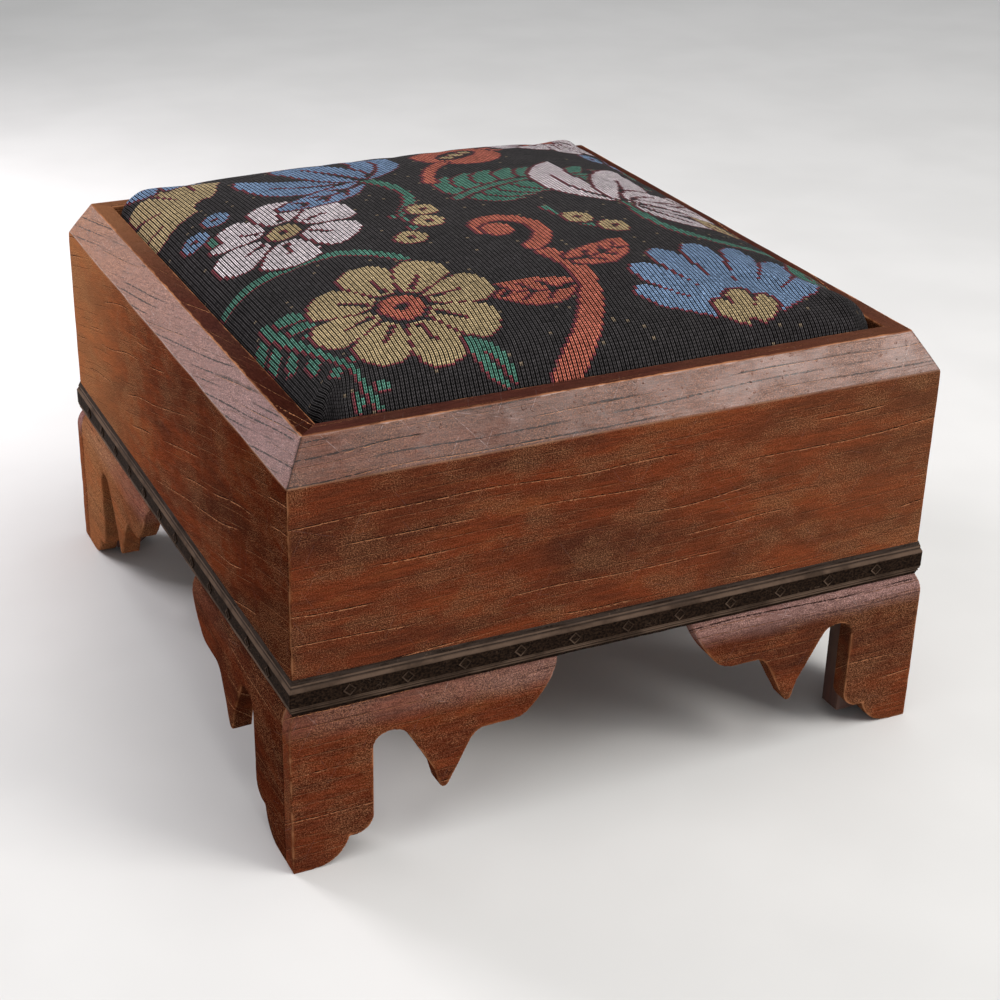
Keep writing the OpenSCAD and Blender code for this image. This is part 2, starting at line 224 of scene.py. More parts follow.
def finishOff(colour, rough, height=None, depth=0.001, strength=1.0, **shader):
    fed = {"Base Color": colour, "Roughness": rough}
    fed.update({key.replace("_", " "): value for key, value in shader.items()})
    if height is not None:
        bump = {"Height": height, "Distance": depth, "Strength": strength}
        fed["Normal"] = take(0, "Bump", bump)
    put("OutputMaterial", {"Surface": take(0, "BsdfPrincipled", fed)})
    return desk["owner"]


# Finishes of the wood

woodLines = {
    "crack": {"pitch": 16.5 * mm, "width": 0.40 * mm, "share": 0.50, "breaks": 12, "swing": 1.4},
    "check": {"pitch": 5.8 * mm, "width": 0.28 * mm, "share": 0.50, "seed": 31.0},
    "split": {"pitch": 8 * mm, "width": 0.75 * mm, "share": 0.56, "seed": 47.0, "breaks": 12},
    "scratch": {"width": 0.22 * mm, "share": 0.43, "breaks": 45, "swing": 1.2},
    "scratchTurns": ((57, 11 * mm, 3.0), (-62, 8 * mm, 11.0), (21, 13 * mm, 23.0)),
}


# Where a point lies along the grain, and among the lanes across it
def laneCoords(coords):
    x, y, z = apart(coords)
    return x, y + z * 0.83


# Long thin lines that follow the grain, each in a lane of its own and only here and there.
# Gives the line and a painted highlight on the edge under it.
def grainLines(coords, pitch, width, share, seed=0.0, breaks=17, swing=2.0):
    along, across = laneCoords(coords)
    lane = across / pitch + cloud(coords, 5, 9, 2, 0.6) * swing + seed
    number = calc("FLOOR", lane)
    chance = take("Value", "TexWhiteNoise", {"W": number}, noise_dimensions="1D")
    away = lane - number - (chance * 0.5 + 0.25)
    stretch = take(0, "CombineXYZ", {0: along * breaks, 1: number * 5.3})
    gate = between(cloud(stretch, 1, 1, 1), 1 - share, 1.06 - share)
    nibble = between(cloud(coords, 420, 600, 2, 0.7), 0.34, 0.60, 0.15, 1.6)
    thick = nibble * (width / pitch)
    line = abs(away) < thick * 0.5
    crackHighlight = abs(away + thick * 0.9) < thick * 0.4
    return line * gate, crackHighlight * gate


# Short straight scratches that cross the grain in a few directions
def crossScratches(coords):
    along, across = laneCoords(coords)
    flat = take(0, "CombineXYZ", {0: along, 1: across})
    total = 0.0
    for degrees, pitch, seed in woodLines["scratchTurns"]:
        turn = {"Vector": flat, "Rotation": (0, 0, math.radians(degrees))}
        line = grainLines(take(0, "Mapping", turn), pitch, seed=seed, **woodLines["scratch"])[0]
        total = calc("MAXIMUM", line, total)
    return total


mahogany = {
    "dark": (0.070, 0.0215, 0.0120),
    "mid": (0.115, 0.0290, 0.0130),
    "red": (0.158, 0.0350, 0.0135),
    "orange": (0.185, 0.0550, 0.0200),
    "tan": (0.300, 0.128, 0.060),
    "olive": (0.125, 0.062, 0.033),
    "worn": (0.250, 0.088, 0.032),
    "dust": (0.126, 0.060, 0.044),
    "pale": (0.500, 0.380, 0.360),      # scratches in the dusty chamfers, partly real and partly painted glints
    "edge": (0.420, 0.180, 0.085),      # thin line along the arrises, and the painted highlight under cracks
    "gold": (0.275, 0.118, 0.050),      # painted light: more golden where the boards are painted as most lit
    "pink": (0.215, 0.124, 0.100),      # painted sheen on the chamfers, stronger with the painted light
    "lilac": (0.300, 0.182, 0.185),
    "straw": (0.350, 0.168, 0.100),
    "fold": (0.300, 0.150, 0.085),      # painted highlight along the foot of a chamfer
    "plum": (0.048, 0.0175, 0.0150),    # the rim
    "crack": (0.012, 0.006, 0.005),
    "paintedLightTint": (1.8, 2.2, 2.0),        # painted light: tint where the boards are painted as most lit
    "shaded": (0.43, 0.32, 0.27),       # painted shade: tint where they are painted as least lit
    "rough": 0.34,
    "chamferGloss": 0.34,
    "boardTint": (0.94, 0.91, 0.91),
    "footTint": (0.84, 0.79, 0.80),
    "footWear": 0.95,
}


# folded sets how much painted highlight runs along the foot of the chamfers
def mahoganyFinish(name, tint=(1, 1, 1), wear=1.0, gloss=0.0, folded=1.0):
    wood = mahogany
    startFinish(name)
    coords = grainCoords()
    chamfer, rim, paintedLight = apart(ofPiece("zone", "Vector"))
    figure = cloud(coords, 17, 170, 3, 0.65, 0.6)
    fibre = cloud(coords, 110, 1000, 2, 0.65)
    patch = cloud(coords, 30, 48, 3, 0.6)
    speck = cloud(coords, 1500, 1900, 1)
    smoothRim = between(rim, 0.0, 1.0, 1.0, 0.15)

    tone = toneRamp(cloud(coords, 9, 38, 4, 0.6, 0.5), {0.32: wood["dark"], 0.45: wood["mid"],
                                                        0.56: wood["red"], 0.70: wood["orange"]})
    tone = blend(between(patch, 0.46, 0.66, 0.0, 0.45), tone, wood["olive"])
    tone = blend(between(figure, 0.46, 0.66, 0.0, 0.55), tone, wood["dark"])
    tone = blend(between(figure, 0.42, 0.28, 0.0, 0.45), tone, wood["orange"])
    tone = tinted(tone, tint)

    # smooth plum rim and pale dusty chamfers; the chamfer colour runs from dust through pink and
    # lilac to straw with the painted light, a painted sheen and reflection
    tone = blend(rim * 0.8, tone, wood["plum"])
    dust = toneRamp(paintedLight, {0.18: wood["dust"], 0.45: wood["pink"], 0.66: wood["lilac"],
                          1.0: wood["straw"]})
    tone = blend(chamfer * between(patch, 0.25, 0.7, 0.62, 0.92), tone, dust)
    tone = tinted(tone, toneRamp(fibre, {0.32: (0.72, 0.70, 0.68), 0.68: (1.22, 1.20, 1.18)}))
    # painted shade on the flat faces where the painted light is low, and painted light, paler and
    # more golden, where it is high
    face = between(chamfer, 0.0, 0.8, 1.0, 0.0)
    tone = blend(between(paintedLight, 0.5, 0.0) * face, tone, tinted(tone, wood["shaded"]))
    paler = between(paintedLight, 0.5, 1.0) * face
    tone = blend(paler, tone, tinted(tone, wood["paintedLightTint"]))
    tone = blend(paler * 0.55, tone, wood["gold"])

    # short curly tan scratches, thicker in some patches, that also stand in for small painted
    # highlights, then flecks and dark pores
    curl = lines(cloud(coords, 1300, 1600, 1, 0.5, 1.0), 0.085) * between(speck, 0.46, 0.55)
    curl = curl * between(patch, 0.40, 0.62, 0.30, 1.0) * between(chamfer, 0.0, 1.0, 1.0, 0.5)
    curl = curl * smoothRim
    tone = blend(curl * 0.75, tone, wood["tan"])
    fleck = toneRamp(speck, {0.32: (0.62, 0.60, 0.58), 0.50: (0.90, 0.90, 0.90),
                             0.68: (1.72, 1.82, 1.82)})
    flecked = between(patch, 0.36, 0.60, 0.45, 1.0) * smoothRim
    tone = blend(flecked, tone, tinted(tone, fleck))
    pores = between(speck, 0.37, 0.28, 0.0, 0.65) * between(chamfer, 0.0, 1.0, 1.0, 0.6)
    tone = blend(pores, tone, wood["crack"])
    # pale scratches across the grain, strongest on the chamfers, where they are partly painted
    # glints
    scratch = crossScratches(coords) * between(cloud(coords, 26, 26), 0.38, 0.54)
    tone = blend(scratch * between(chamfer, 0.0, 1.0, 0.06, 0.50), tone, wood["pale"])

    # cracks along the grain, each with a painted highlight on its lower edge, and finer checks
    # between them with the same
    crack, crackHighlight = grainLines(coords, **woodLines["crack"])
    check, checkHighlight = grainLines(coords, **woodLines["check"])
    split = grainLines(coords, **woodLines["split"])[0] * chamfer
    for line, amount, colour in ((checkHighlight, 0.55, "tan"), (check, 0.65, "crack"),
                                 (crackHighlight, 0.80, "edge"), (crack, 0.90, "crack"),
                                 (split, 0.90, "crack")):
        tone = blend(line * amount, tone, wood[colour])

    # a painted highlight along the rounded foot of each chamfer, then wear along the arrises: a warm
    # strip and a thin light line, then the open mitre
    fold = between(chamfer, 0.02, 0.35) * between(chamfer, 0.55, 0.95, 1.0, 0.0)
    fold = fold * between(patch, 0.3, 0.6, 0.25 * folded, 0.75 * folded)
    tone = blend(fold, tone, wood["fold"])
    nibble = between(cloud(coords, 110, 110, 3, 0.6), 0.3, 0.7, 0.3, 1.6)
    near = ofPiece("arris") / (nibble * wear)
    warm = between(near, 0.4 * mm, 2.0 * mm, 0.30, 0.0) * between(rim, 0.0, 1.0, 1.0, 0.1)
    tone = blend(warm, tone, wood["worn"])
    # on the chamfers the thin line takes the scratch colour, partly a painted highlight on the arris
    thin = between(near, 0.3 * mm, 0.9 * mm, 0.80, 0.0) * between(patch, 0.40, 0.55, 0.30, 1.0)
    tone = blend(thin, tone, blend(chamfer, wood["edge"], wood["pale"]))
    gap = between(ofPiece("joint"), 0.2 * mm, 0.7 * mm, 0.75, 0.0)
    tone = blend(gap, tone, wood["crack"])

    rough = curl * 0.2 + wood["rough"] + between(patch, 0.3, 0.7, -0.10, 0.10)
    pimples = between(cloud(coords, 420, 480, 1), 0.68, 0.80)
    dents = cloud(coords, 90, 110)
    hollows = cloud(coords, 28, 60, 2, 0.5, 0.6)
    crinkle = lines(cloud(coords, 200, 320, 2, 0.5, 1.5), 0.05) * between(patch, 0.48, 0.64)
    carved = pimples * 0.60 + dents * 0.34 + hollows * 1.6 + crinkle * 0.16
    height = fibre * 0.16 + curl * 0.14 + figure * 0.35 - crack * 0.45 - check * 0.25
    height = height - scratch * 0.12 - split * 0.7 + chamfer * carved
    return finishOff(tone, rough, height, 0.6 * mm, 0.8, Specular_IOR_Level=gloss)


# How much painted light each side takes, from 0 (painted shade) to 1 (painted light), at the start
# and the end of its run
sidePaintedLight = {"front": (0.42, 0.66), "right": (0.66, 0.30), "back": (0.30, 0.85), "left": (1.0, 0.0)}

# The same for the chamfers, where it sets their painted sheen
chamferPaintedLight = {"front": (0.0, 0.48), "right": (0.45, 0.25), "back": (0.25, 0.60), "left": (1.0, 0.62)}

# The slope of the grain on each board, in degrees
grainSlope = {"front": 1.0, "back": 4.0, "left": 14.0, "right": -7.0}

# How far apart in the plank two neighbouring pieces were cut, so that no two are alike
plankShift = {"board": np.array([0.7, 0.31, 0.13]), "foot": np.array([0.9, 0.37, 0.21])}

darkMoulding = {
    "black": (0.0065, 0.0042, 0.0032),
    "brown": (0.027, 0.016, 0.0105),
    "dust": (0.044, 0.032, 0.026),
    "arris": (0.150, 0.100, 0.072),
    "rough": 0.5,
    "gloss": 0.004,
}


def mouldingFinish(name):
    stain = darkMoulding
    startFinish(name)
    coords = grainCoords()
    speck = cloud(coords, 700, 900, 2, 0.6)
    patch = cloud(coords, 40, 60, 3, 0.6)
    fibre = cloud(coords, 60, 900, 2, 0.6)
    nick = lines(cloud(coords, 170, 260, 1, 0.5, 1.2), 0.02) * between(patch, 0.45, 0.65)
    # worn arrises are paler; the lozenges' left and lower corners are set nearer to worn, a painted
    # highlight
    worn = between(ofPiece("arris"), 0.2 * mm, 0.8 * mm, 0.75, 0.0)
    tone = toneRamp(speck, {0.38: stain["black"], 0.66: stain["brown"]})
    dusty = ofPiece("dust") * between(fibre, 0.30, 0.65, 0.15, 0.95)
    tone = blend(dusty, tone, stain["dust"])
    tone = blend(nick * 0.35, tone, stain["arris"])
    tone = blend(worn * between(patch, 0.35, 0.6, 0.35, 1.0), tone, stain["arris"])
    height = speck * 0.5 + fibre * 0.4 - nick * 0.7
    return finishOff(tone, stain["rough"], height, 0.4 * mm, 0.7, Specular_IOR_Level=stain["gloss"])


bareWood = {
    "pine": {"late": (0.28, 0.125, 0.050), "early": (0.47, 0.28, 0.140), "rough": 0.75},
    "beech": {"late": (0.40, 0.240, 0.130), "early": (0.55, 0.36, 0.210), "rough": 0.65},
    "stained": {"late": (0.040, 0.012, 0.007), "early": (0.075, 0.022, 0.011), "rough": 0.6},
    "grime": (0.10, 0.06, 0.035),
}


# Unfinished wood of the hidden pieces, darkened unevenly by age
def bareWoodFinish(name, kind, along):
    wood = bareWood[kind]
    startFinish(name)
    coords = grainCoords(along)
    fibre = cloud(coords, 60, 1100, 2, 0.6)
    grime = between(cloud(coords, 30, 35, 4, 0.6), 0.45, 0.75, 0.0, 0.6)
    tone = toneRamp(cloud(coords, 5, 150, 2, 0.5, 0.5), {0.40: wood["early"], 0.60: wood["late"]})
    tone = blend(between(fibre, 0.5, 0.75, 0.0, 0.35), tone, wood["late"])
    tone = blend(grime, tone, bareWood["grime"])
    return finishOff(tone, wood["rough"], fibre, 0.4 * mm, 0.5)


# Meshes of the pieces

def eased(share):
    return share * share * (3 - 2 * share)


latticeMix = np.array([73856093, 19349663, 83492791])      # large primes that scatter the cells


# Lattice noise from -1 to 1 at points given in metres
def waver(points, size, seed):
    grid = points / size
    cell = np.floor(grid).astype(np.int64)
    ease = eased(grid - cell)
    total = np.zeros(len(points))
    for corner in itertools.product((0, 1), repeat=3):
        weight = np.prod(np.where(corner, ease, 1 - ease), axis=1)
        key = (cell + corner) @ latticeMix + seed * 2654435761
        key = (key ^ (key >> 13)) * 1274126177
        total += weight * (((key ^ (key >> 16)) & 0xffff) / 32767.5 - 1)
    return total


# The same in two sizes, the second finer and weaker
def wavers(points, coarse, fine, seed):
    return waver(points, coarse, seed) + 0.5 * waver(points, fine, seed + 1)


# The name for the piece that replaces a node, such as frontLeft for front_left
def pieceName(node):
    first, *rest = node.split("_")
    return first + "".join(word.title() for word in rest)


def linkPiece(name, mesh, finish):
    piece = bpy.data.objects.new(name, mesh)
    scene.collection.objects.link(piece)
    mesh.materials.clear()
    mesh.materials.append(finish)
    return piece


# Where crisp is given, faces turn outward and edges sharper than so many degrees stay crisp
def addPiece(name, points, faces, finish, crisp=None):
    mesh = bpy.data.meshes.new(name)
    mesh.from_pydata([tuple(p) for p in points], [], faces)
    mesh.update()
    mesh.shade_smooth()
    if crisp:
        work = bmesh.new()
        work.from_mesh(mesh)
        bmesh.ops.recalc_face_normals(work, faces=work.faces)
        for edge in work.edges:
            if len(edge.link_faces) == 2:
                edge.smooth = edge.calc_face_angle(0) < math.radians(crisp)
        work.to_mesh(mesh)
        work.free()
    return linkPiece(name, mesh, finish)


# Values that the finishes read at each point: a number or a vector
def keepValues(piece, **values):
    for name, numbers in values.items():
        numbers = np.asarray(numbers, dtype=np.float32)
        kind, field = ("FLOAT", "value") if numbers.ndim == 1 else ("FLOAT_VECTOR", "vector")
        layer = piece.data.attributes.new(name, kind, "POINT")
        layer.data.foreach_set(field, numbers.ravel())


def readAll(items, field, width, kind=float):
    values = np.empty(len(items) * width, dtype=kind)
    items.foreach_get(field, values)
    return values.reshape(-1, width)


def movePoints(piece, points):
    piece.data.vertices.foreach_set("co", points.ravel())


# Faces between rings of points that follow each other, with both ends closed, or only the last
def ringFaces(rings, around, base=0, firstClosed=True):
    faces = []
    for j in range(rings - 1):
        a = base + j * around
        for i in range(around):
            k = (i + 1) % around
            faces.append((a + i, a + k, a + around + k, a + around + i))
    last = base + (rings - 1) * around
    faces.append(tuple(last + i for i in range(around)))
    if firstClosed:
        faces.append(tuple(base + i for i in reversed(range(around))))
    return faces


def runModifier(piece, kind, **settings):
    modifier = piece.modifiers.new(kind.lower(), kind)
    for key, value in settings.items():
        setattr(modifier, key, value)
    graph = bpy.context.evaluated_depsgraph_get()
    mesh = bpy.data.meshes.new_from_object(piece.evaluated_get(graph), depsgraph=graph)
    piece.modifiers.clear()
    old = piece.data
    piece.data = mesh
    mesh.name = old.name
    bpy.data.meshes.remove(old)


def weldedNode(node):
    work = bmesh.new()
    work.from_mesh(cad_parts[node].data)
    bmesh.ops.remove_doubles(work, verts=work.verts, dist=1e-6)
    return work


# A CAD piece copied and remeshed in small even cells
def softCopy(node, name, finish, cell, smoothing):
    work = weldedNode(node)
    bmesh.ops.dissolve_limit(work, angle_limit=math.radians(1), verts=work.verts,
                             edges=work.edges)
    mesh = bpy.data.meshes.new(name)
    work.to_mesh(mesh)
    work.free()
    piece = linkPiece(name, mesh, finish)
    runModifier(piece, "REMESH", mode="VOXEL", voxel_size=cell)
    runModifier(piece, "SMOOTH", factor=0.5, iterations=smoothing)
    return piece


# Mitred boards and mouldings

# Turns a closed outline of corners (depth, height, radius, worn) into points with rounded
# corners and short steps. Gives the points, their outward normals and how far each one is
# from a worn corner.
def roundedOutline(corners, step, arcSteps=4):
    spots = np.array([c[:2] for c in corners], dtype=float)
    after = np.roll(spots, -1, axis=0) - spots
    after /= np.linalg.norm(after, axis=1)[:, None]
    before = -np.roll(after, 1, axis=0)
    half = np.arccos(np.clip((before * after).sum(axis=1), -1, 1)) / 2
    radii = np.array([c[2] for c in corners], dtype=float)
    back = (radii / np.tan(half))[:, None]
    starts, ends = spots + before * back, spots + after * back
    out = []
    for i, radius in enumerate(radii):
        if radius:
            bisector = before[i] + after[i]
            bisector /= np.linalg.norm(bisector)
            middle = spots[i] + bisector * radius / math.sin(half[i])
            for k in range(arcSteps + 1):
                ray = starts[i] + (ends[i] - starts[i]) * k / arcSteps - middle
                out.append(middle + ray / np.linalg.norm(ray) * radius)
        else:
            out.append(spots[i])
        follow = starts[(i + 1) % len(starts)]
        pieces = max(1, int(round(np.linalg.norm(follow - ends[i]) / step)))
        for k in range(1, pieces):
            out.append(ends[i] + (follow - ends[i]) * k / pieces)
    out = np.array(out)
    ahead = np.roll(out, -1, axis=0) - np.roll(out, 1, axis=0)
    ahead /= np.linalg.norm(ahead, axis=1)[:, None]
    area = (out[:, 0] * np.roll(out[:, 1], -1) - np.roll(out[:, 0], -1) * out[:, 1]).sum()
    normals = np.stack([ahead[:, 1], -ahead[:, 0]], axis=1) * (1 if area > 0 else -1)
    worn = np.array([c[:2] for c in corners if c[3]])
    away = np.min(np.linalg.norm(out[:, None] - worn[None], axis=2), axis=1)
    return out, normals, away


mitre = {
    "facesOut": 0.15,           # what faces out by more than this is rounded at the corner
    "innerRound": 0.45 * mm,
    "turns": [math.radians(a) for a in (45, 30, 15)],       # round the outer corner
    "closeUp": [d * mm for d in (0.0, 0.4, 1.2, 2.6)],      # short steps beside it
}


# Runs an outline along one side of the box, mitred at both ends and rounded at the outer
# corner. half is half the side's length at depth 0. Gives rows of places and normals.
def mitredRun(outline, normals, half, cornerRound, step):
    depth, height = outline.T
    outward = normals[:, 0] < -mitre["facesOut"]
    radius = np.where(outward, cornerRound, mitre["innerRound"])
    bends = len(mitre["turns"])
    cuts = [(np.where(outward, radius * math.sin(turn), radius * (1 - j / bends)), turn)
            for j, turn in enumerate(mitre["turns"])]
    rows = []
    for past, turn in cuts + [(-near, 0.0) for near in mitre["closeUp"]]:
        swing = np.where(outward, turn, 0.0)
        rows.append(np.stack([half - depth - radius + past, depth + radius * (1 - np.cos(swing)),
                              height, -normals[:, 0] * np.sin(swing),
                              normals[:, 0] * np.cos(swing), normals[:, 1]], axis=1))
    steps = int(2 * half / step + 0.5)
    middle = [rows[-1] * (1 - 2 * k / steps, 1, 1, 1, 1, 1) for k in range(1, steps)]
    far = [row * (-1, 1, 1, -1, 1, 1) for row in reversed(rows)]
    both = np.concatenate(rows + middle + far)
    return both[:, :3], both[:, 3:]


# Cosine and sine of the turn from the front to each side
sideTurn = {"front": (1, 0), "right": (0, 1), "back": (-1, 0), "left": (0, -1)}


# Places a run, made along X with its outer face at depth 0, on one side of the box
def ontoSide(side, points, boxHalf=(0, 0)):
    cosine, sine = sideTurn[side]
    along, deep = points[:, 0], points[:, 1] - boxHalf[abs(cosine)]
    return np.stack([along * cosine - deep * sine, along * sine + deep * cosine, points[:, 2]],
                    axis=1)


# Half the box's width and depth, and half the length of one of its sides
def halfBox(side):
    low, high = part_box("board_left")[0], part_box("board_right")[1]
    both = ((high[0] - low[0]) / 2, (high[1] - low[1]) / 2)
    return both, both[0 if side in crossSides else 1]


boxBoards = {
    "thickness": 23.3 * mm,
    "chamferIn": 12.3 * mm,
    "chamferDown": 19.8 * mm,
    "rebate": 8 * mm,           # where the moulding sits
    "rimRound": 0.9 * mm,
    "chamferTopRound": 1.1 * mm,
    "chamferFootRound": 4.0 * mm,
    "cornerRound": 1.5 * mm,
    "faceWaver": 0.16 * mm,
    "faceLumps": (31 * mm, 12 * mm),
    "chamferWaver": 0.13 * mm,
    "chamferLumps": (15 * mm, 6 * mm),
    "edgeWaver": 0.6 * mm,      # how far the chamfer's lower edge wanders
    "edgeLumps": 26 * mm,
    "edgeSpread": 4 * mm,
    "chamferFacing": 0.53,      # how much the chamfer faces up, and the rim at least
    "rimFacing": 0.85,
    "step": 2.6 * mm,
    "crispAngle": 50,
}


def makeBoard(side, finish, chamferFinish):
    cut = boxBoards
    low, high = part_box("board_" + side)
    foot, rim, faceFoot = low[2], high[2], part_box("moulding_" + side)[1][2]
    chamferFoot = rim - cut["chamferDown"]
    boxHalf, half = halfBox(side)
    outline, normals, away = roundedOutline([
        (cut["rebate"], foot, 0, 0), (cut["thickness"], foot, 0, 0),
        (cut["thickness"], rim, cut["rimRound"], 1),
        (cut["chamferIn"], rim, cut["chamferTopRound"], 1),
        (0, chamferFoot, cut["chamferFootRound"], 0),
        (0, faceFoot, 0, 0), (cut["rebate"], faceFoot, 0, 0)], cut["step"])
    start, ways = mitredRun(outline, normals, half, cut["cornerRound"], cut["step"])
    count = len(start) // len(outline)
    along, deep, level = start.T
    place = ontoSide(side, start, boxHalf)

    # how much of each finish a point takes: chamfer, rim and painted light
    out, up = -ways[:, 1], ways[:, 2]
    chamfer = np.clip(1 - np.abs(up - cut["chamferFacing"]) / 0.3, 0, 1) * (out > 0)
    rimPart = np.clip((up - cut["rimFacing"]) / 0.12, 0, 1)
    paintedLight = np.interp(along / half, (-1, 1), sidePaintedLight[side])
    # on the chamfers the painted light follows their own table and sets their painted sheen
    paintedLight += chamfer * (np.interp(along / half, (-1, 1), chamferPaintedLight[side]) - paintedLight)

    # the faces waver a little, and the foot of the chamfer wanders
    amount = cut["faceWaver"] * wavers(place, *cut["faceLumps"], 3)
    amount += cut["chamferWaver"] * wavers(place, *cut["chamferLumps"], 5) * chamfer
    amount *= (1 - 0.8 * rimPart) * (level > faceFoot + 0.5 * mm)
    wander = np.clip(0.3 + waver(place, cut["edgeLumps"], 7), 0, 1.3) * (out > 0.4)
    amount -= cut["edgeWaver"] * wander * np.exp(-((level - chamferFoot) / cut["edgeSpread"]) ** 2)
    place = place + ontoSide(side, ways) * amount[:, None]

    piece = addPiece("board" + side.title(), place, ringFaces(count, len(outline)), finish,
                     cut["crispAngle"])
    piece.data.materials.append(chamferFinish)
    for face in piece.data.polygons:
        if np.mean(chamfer[list(face.vertices)]) > 0.45:
            face.material_index = 1
    fromCorner = np.where(level < chamferFoot - 1 * mm, half - np.abs(along), 1.0)
    slope = math.radians(grainSlope[side])
    grain = np.stack([along * math.cos(slope) + level * math.sin(slope),
                      level * math.cos(slope) - along * math.sin(slope), deep], axis=1)
    keepValues(piece, grain=grain + plankShift["board"] * sides.index(side),
               zone=np.stack([chamfer, rimPart, paintedLight], axis=1),
               arris=np.minimum(np.tile(away, count), fromCorner),
               joint=np.where(chamfer > 0.5, half - np.abs(along) - deep, 1.0))
    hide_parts("board_" + side)
    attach(piece, "carcase")


baseMoulding = {
    "rebate": 8 * mm,
    "proud": 2 * mm,
    "bandHeight": 9 * mm,
    "beadRound": 0.8 * mm,
    "beadFoot": 1.6 * mm,
    "beads": ((0.5, 1), (0.25, 3)),     # how far each stands out, and how many radii down
    "capRound": 0.2 * mm,
    "cornerRound": 0.5 * mm,
    "waver": 0.10 * mm,
    "lumps": (9 * mm, 3 * mm),
    "lozengeWidth": 7.5 * mm,
    "lozengeProud": 0.55 * mm,
    "lozengePitch": 30.2 * mm,
    "lozengeTilt": 0.06,
    "lozengeWearAndHighlight": (0.60 * mm, 0.58 * mm, 0.35 * mm, 0.35 * mm),     # less is paler: worn, and on the left and lower corners also a painted highlight
    "profileStep": 1.5 * mm,
    "step": 3 * mm,
    "crispAngle": 35,
}


def makeMoulding(side, finish):
    cut = baseMoulding
    low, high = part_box("moulding_" + side)
    foot, top = low[2], high[2]
    boxHalf, half = halfBox(side)
    proud, bead, tiny = cut["proud"], cut["beadRound"], cut["capRound"]
    bandFoot = foot + 4 * bead + cut["beadFoot"]
    bandTop = bandFoot + cut["bandHeight"]
    cap = top - bandTop
    corners = [
        (cut["rebate"], foot, 0, 0), (cut["rebate"], top, 0, 0), (0, top, 0, 0),
        (-0.5 * proud, bandTop + 0.5 * cap, tiny, 1), (-0.45 * proud, bandTop + 0.36 * cap, 0, 0),
        (-0.8 * proud, bandTop + 0.12 * cap, tiny, 1), (-proud, bandTop, tiny, 1),
        (-proud, bandFoot, tiny, 1)]
    for share, drop in cut["beads"]:
        for angle in (110, 133, 157, 180, 203, 227, 250):
            turn = math.radians(angle)
            corners.append((-share * proud + bead * math.cos(turn),
                            bandFoot - drop * bead + bead * math.sin(turn), 0, angle == 180))
    corners.append((-0.1 * proud, foot, 0, 0))
    outline, normals, away = roundedOutline(corners, cut["profileStep"])
    start, ways = mitredRun(outline, normals, half, cut["cornerRound"], cut["step"])
    count = len(start) // len(outline)
    place = ontoSide(side, start, boxHalf)
    coarse, fine = cut["lumps"]
    amount = cut["waver"] * (waver(place, coarse, 11) + waver(place, fine, 12))
    amount *= ways[:, 1] < -0.1
    points = list(place + ontoSide(side, ways) * amount[:, None])
    faces = ringFaces(count, len(outline))
    arris = list(np.tile(away, count))
    dust = list(np.clip((start[:, 2] - bandTop) / (0.4 * cap), 0, 1) * (ways[:, 1] < 0))
    grain = list(start[:, [0, 2, 1]])

    # lozenges: low squares on their points with sloping edges
    run = 2 * (half + proud)
    gaps = round(run / cut["lozengePitch"])
    reach, raised = cut["lozengeWidth"] / 2, -cut["lozengeProud"]
    levels = ((reach, 0.15 * mm), (reach, 0.3 * raised), (reach - 0.35 * mm, raised),
              (reach - 1.1 * mm, raised), (reach - 1.6 * mm, 0.45 * raised))
    for i in range(1, gaps):
        middle = i * run / gaps - run / 2
        tilt = cut["lozengeTilt"] * math.sin(i * 2.3 + sides.index(side))
        angles = np.arange(4) * math.pi / 2 + tilt
        faces += ringFaces(len(levels), 4, len(points), firstClosed=False)
        for wide, out in levels:
            ring = np.stack([middle + wide * np.cos(angles), np.full(4, out - proud),
                             bandFoot + cut["bandHeight"] / 2 + wide * np.sin(angles)], axis=1)
            points += list(ontoSide(side, ring, boxHalf))
            grain += list(ring[:, [0, 2, 1]])
            arris += cut["lozengeWearAndHighlight"] if out == raised else (1.2 * mm,) * 4
            dust += [0.0] * 4
    piece = addPiece("moulding" + side.title(), points, faces, finish, cut["crispAngle"])
    grain = np.array(grain) + plankShift["board"] * sides.index(side)
    keepValues(piece, grain=grain, dust=dust, arris=arris)
    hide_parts("moulding_" + side)
    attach(piece, "carcase")


# Bracket feet

bracketFeet = {
    "voxel": 0.85 * mm,
    "smoothing": 1,
    "waver": 0.20 * mm,
    "lumps": (17 * mm, 6 * mm),
    "trueEnds": 2 * mm,         # the top and the sole stay flat so far
    "seamReach": 0.5 * mm,
    "shoulder": 17 * mm,        # height of the pale shoulder
    "shoulderWander": 1.5 * mm,
    # how much of its side's painted light and shade each foot takes
    "paintedLightShare": {"front": 0.5, "right": 0.5, "back": 0.5, "left": 1.0},
    "shoulderDustAndSheen": {"front": (0.35, 1.30), "right": (0.7, 0.5), "back": (0.5, 0.7),
                     "left": (0.30, 0.12)},
}


# Sharp edges of a CAD piece, as pairs of points
def sharpEdges(node, angle=35):
    work = weldedNode(node)
    pairs = []
    for edge in work.edges:
        if len(edge.link_faces) == 2 and edge.calc_face_angle(0) > math.radians(angle):
            pairs.append([tuple(edge.verts[0].co), tuple(edge.verts[1].co)])
    work.free()
    return np.array(pairs)


def distanceToEdges(points, pairs):
    best = np.full(len(points), 1.0)
    for a, b in pairs:
        way = b - a
        share = np.clip((points - a) @ way / max(way @ way, 1e-12), 0, 1)
        best = np.minimum(best, np.linalg.norm(points - (a + share[:, None] * way), axis=1))
    return best


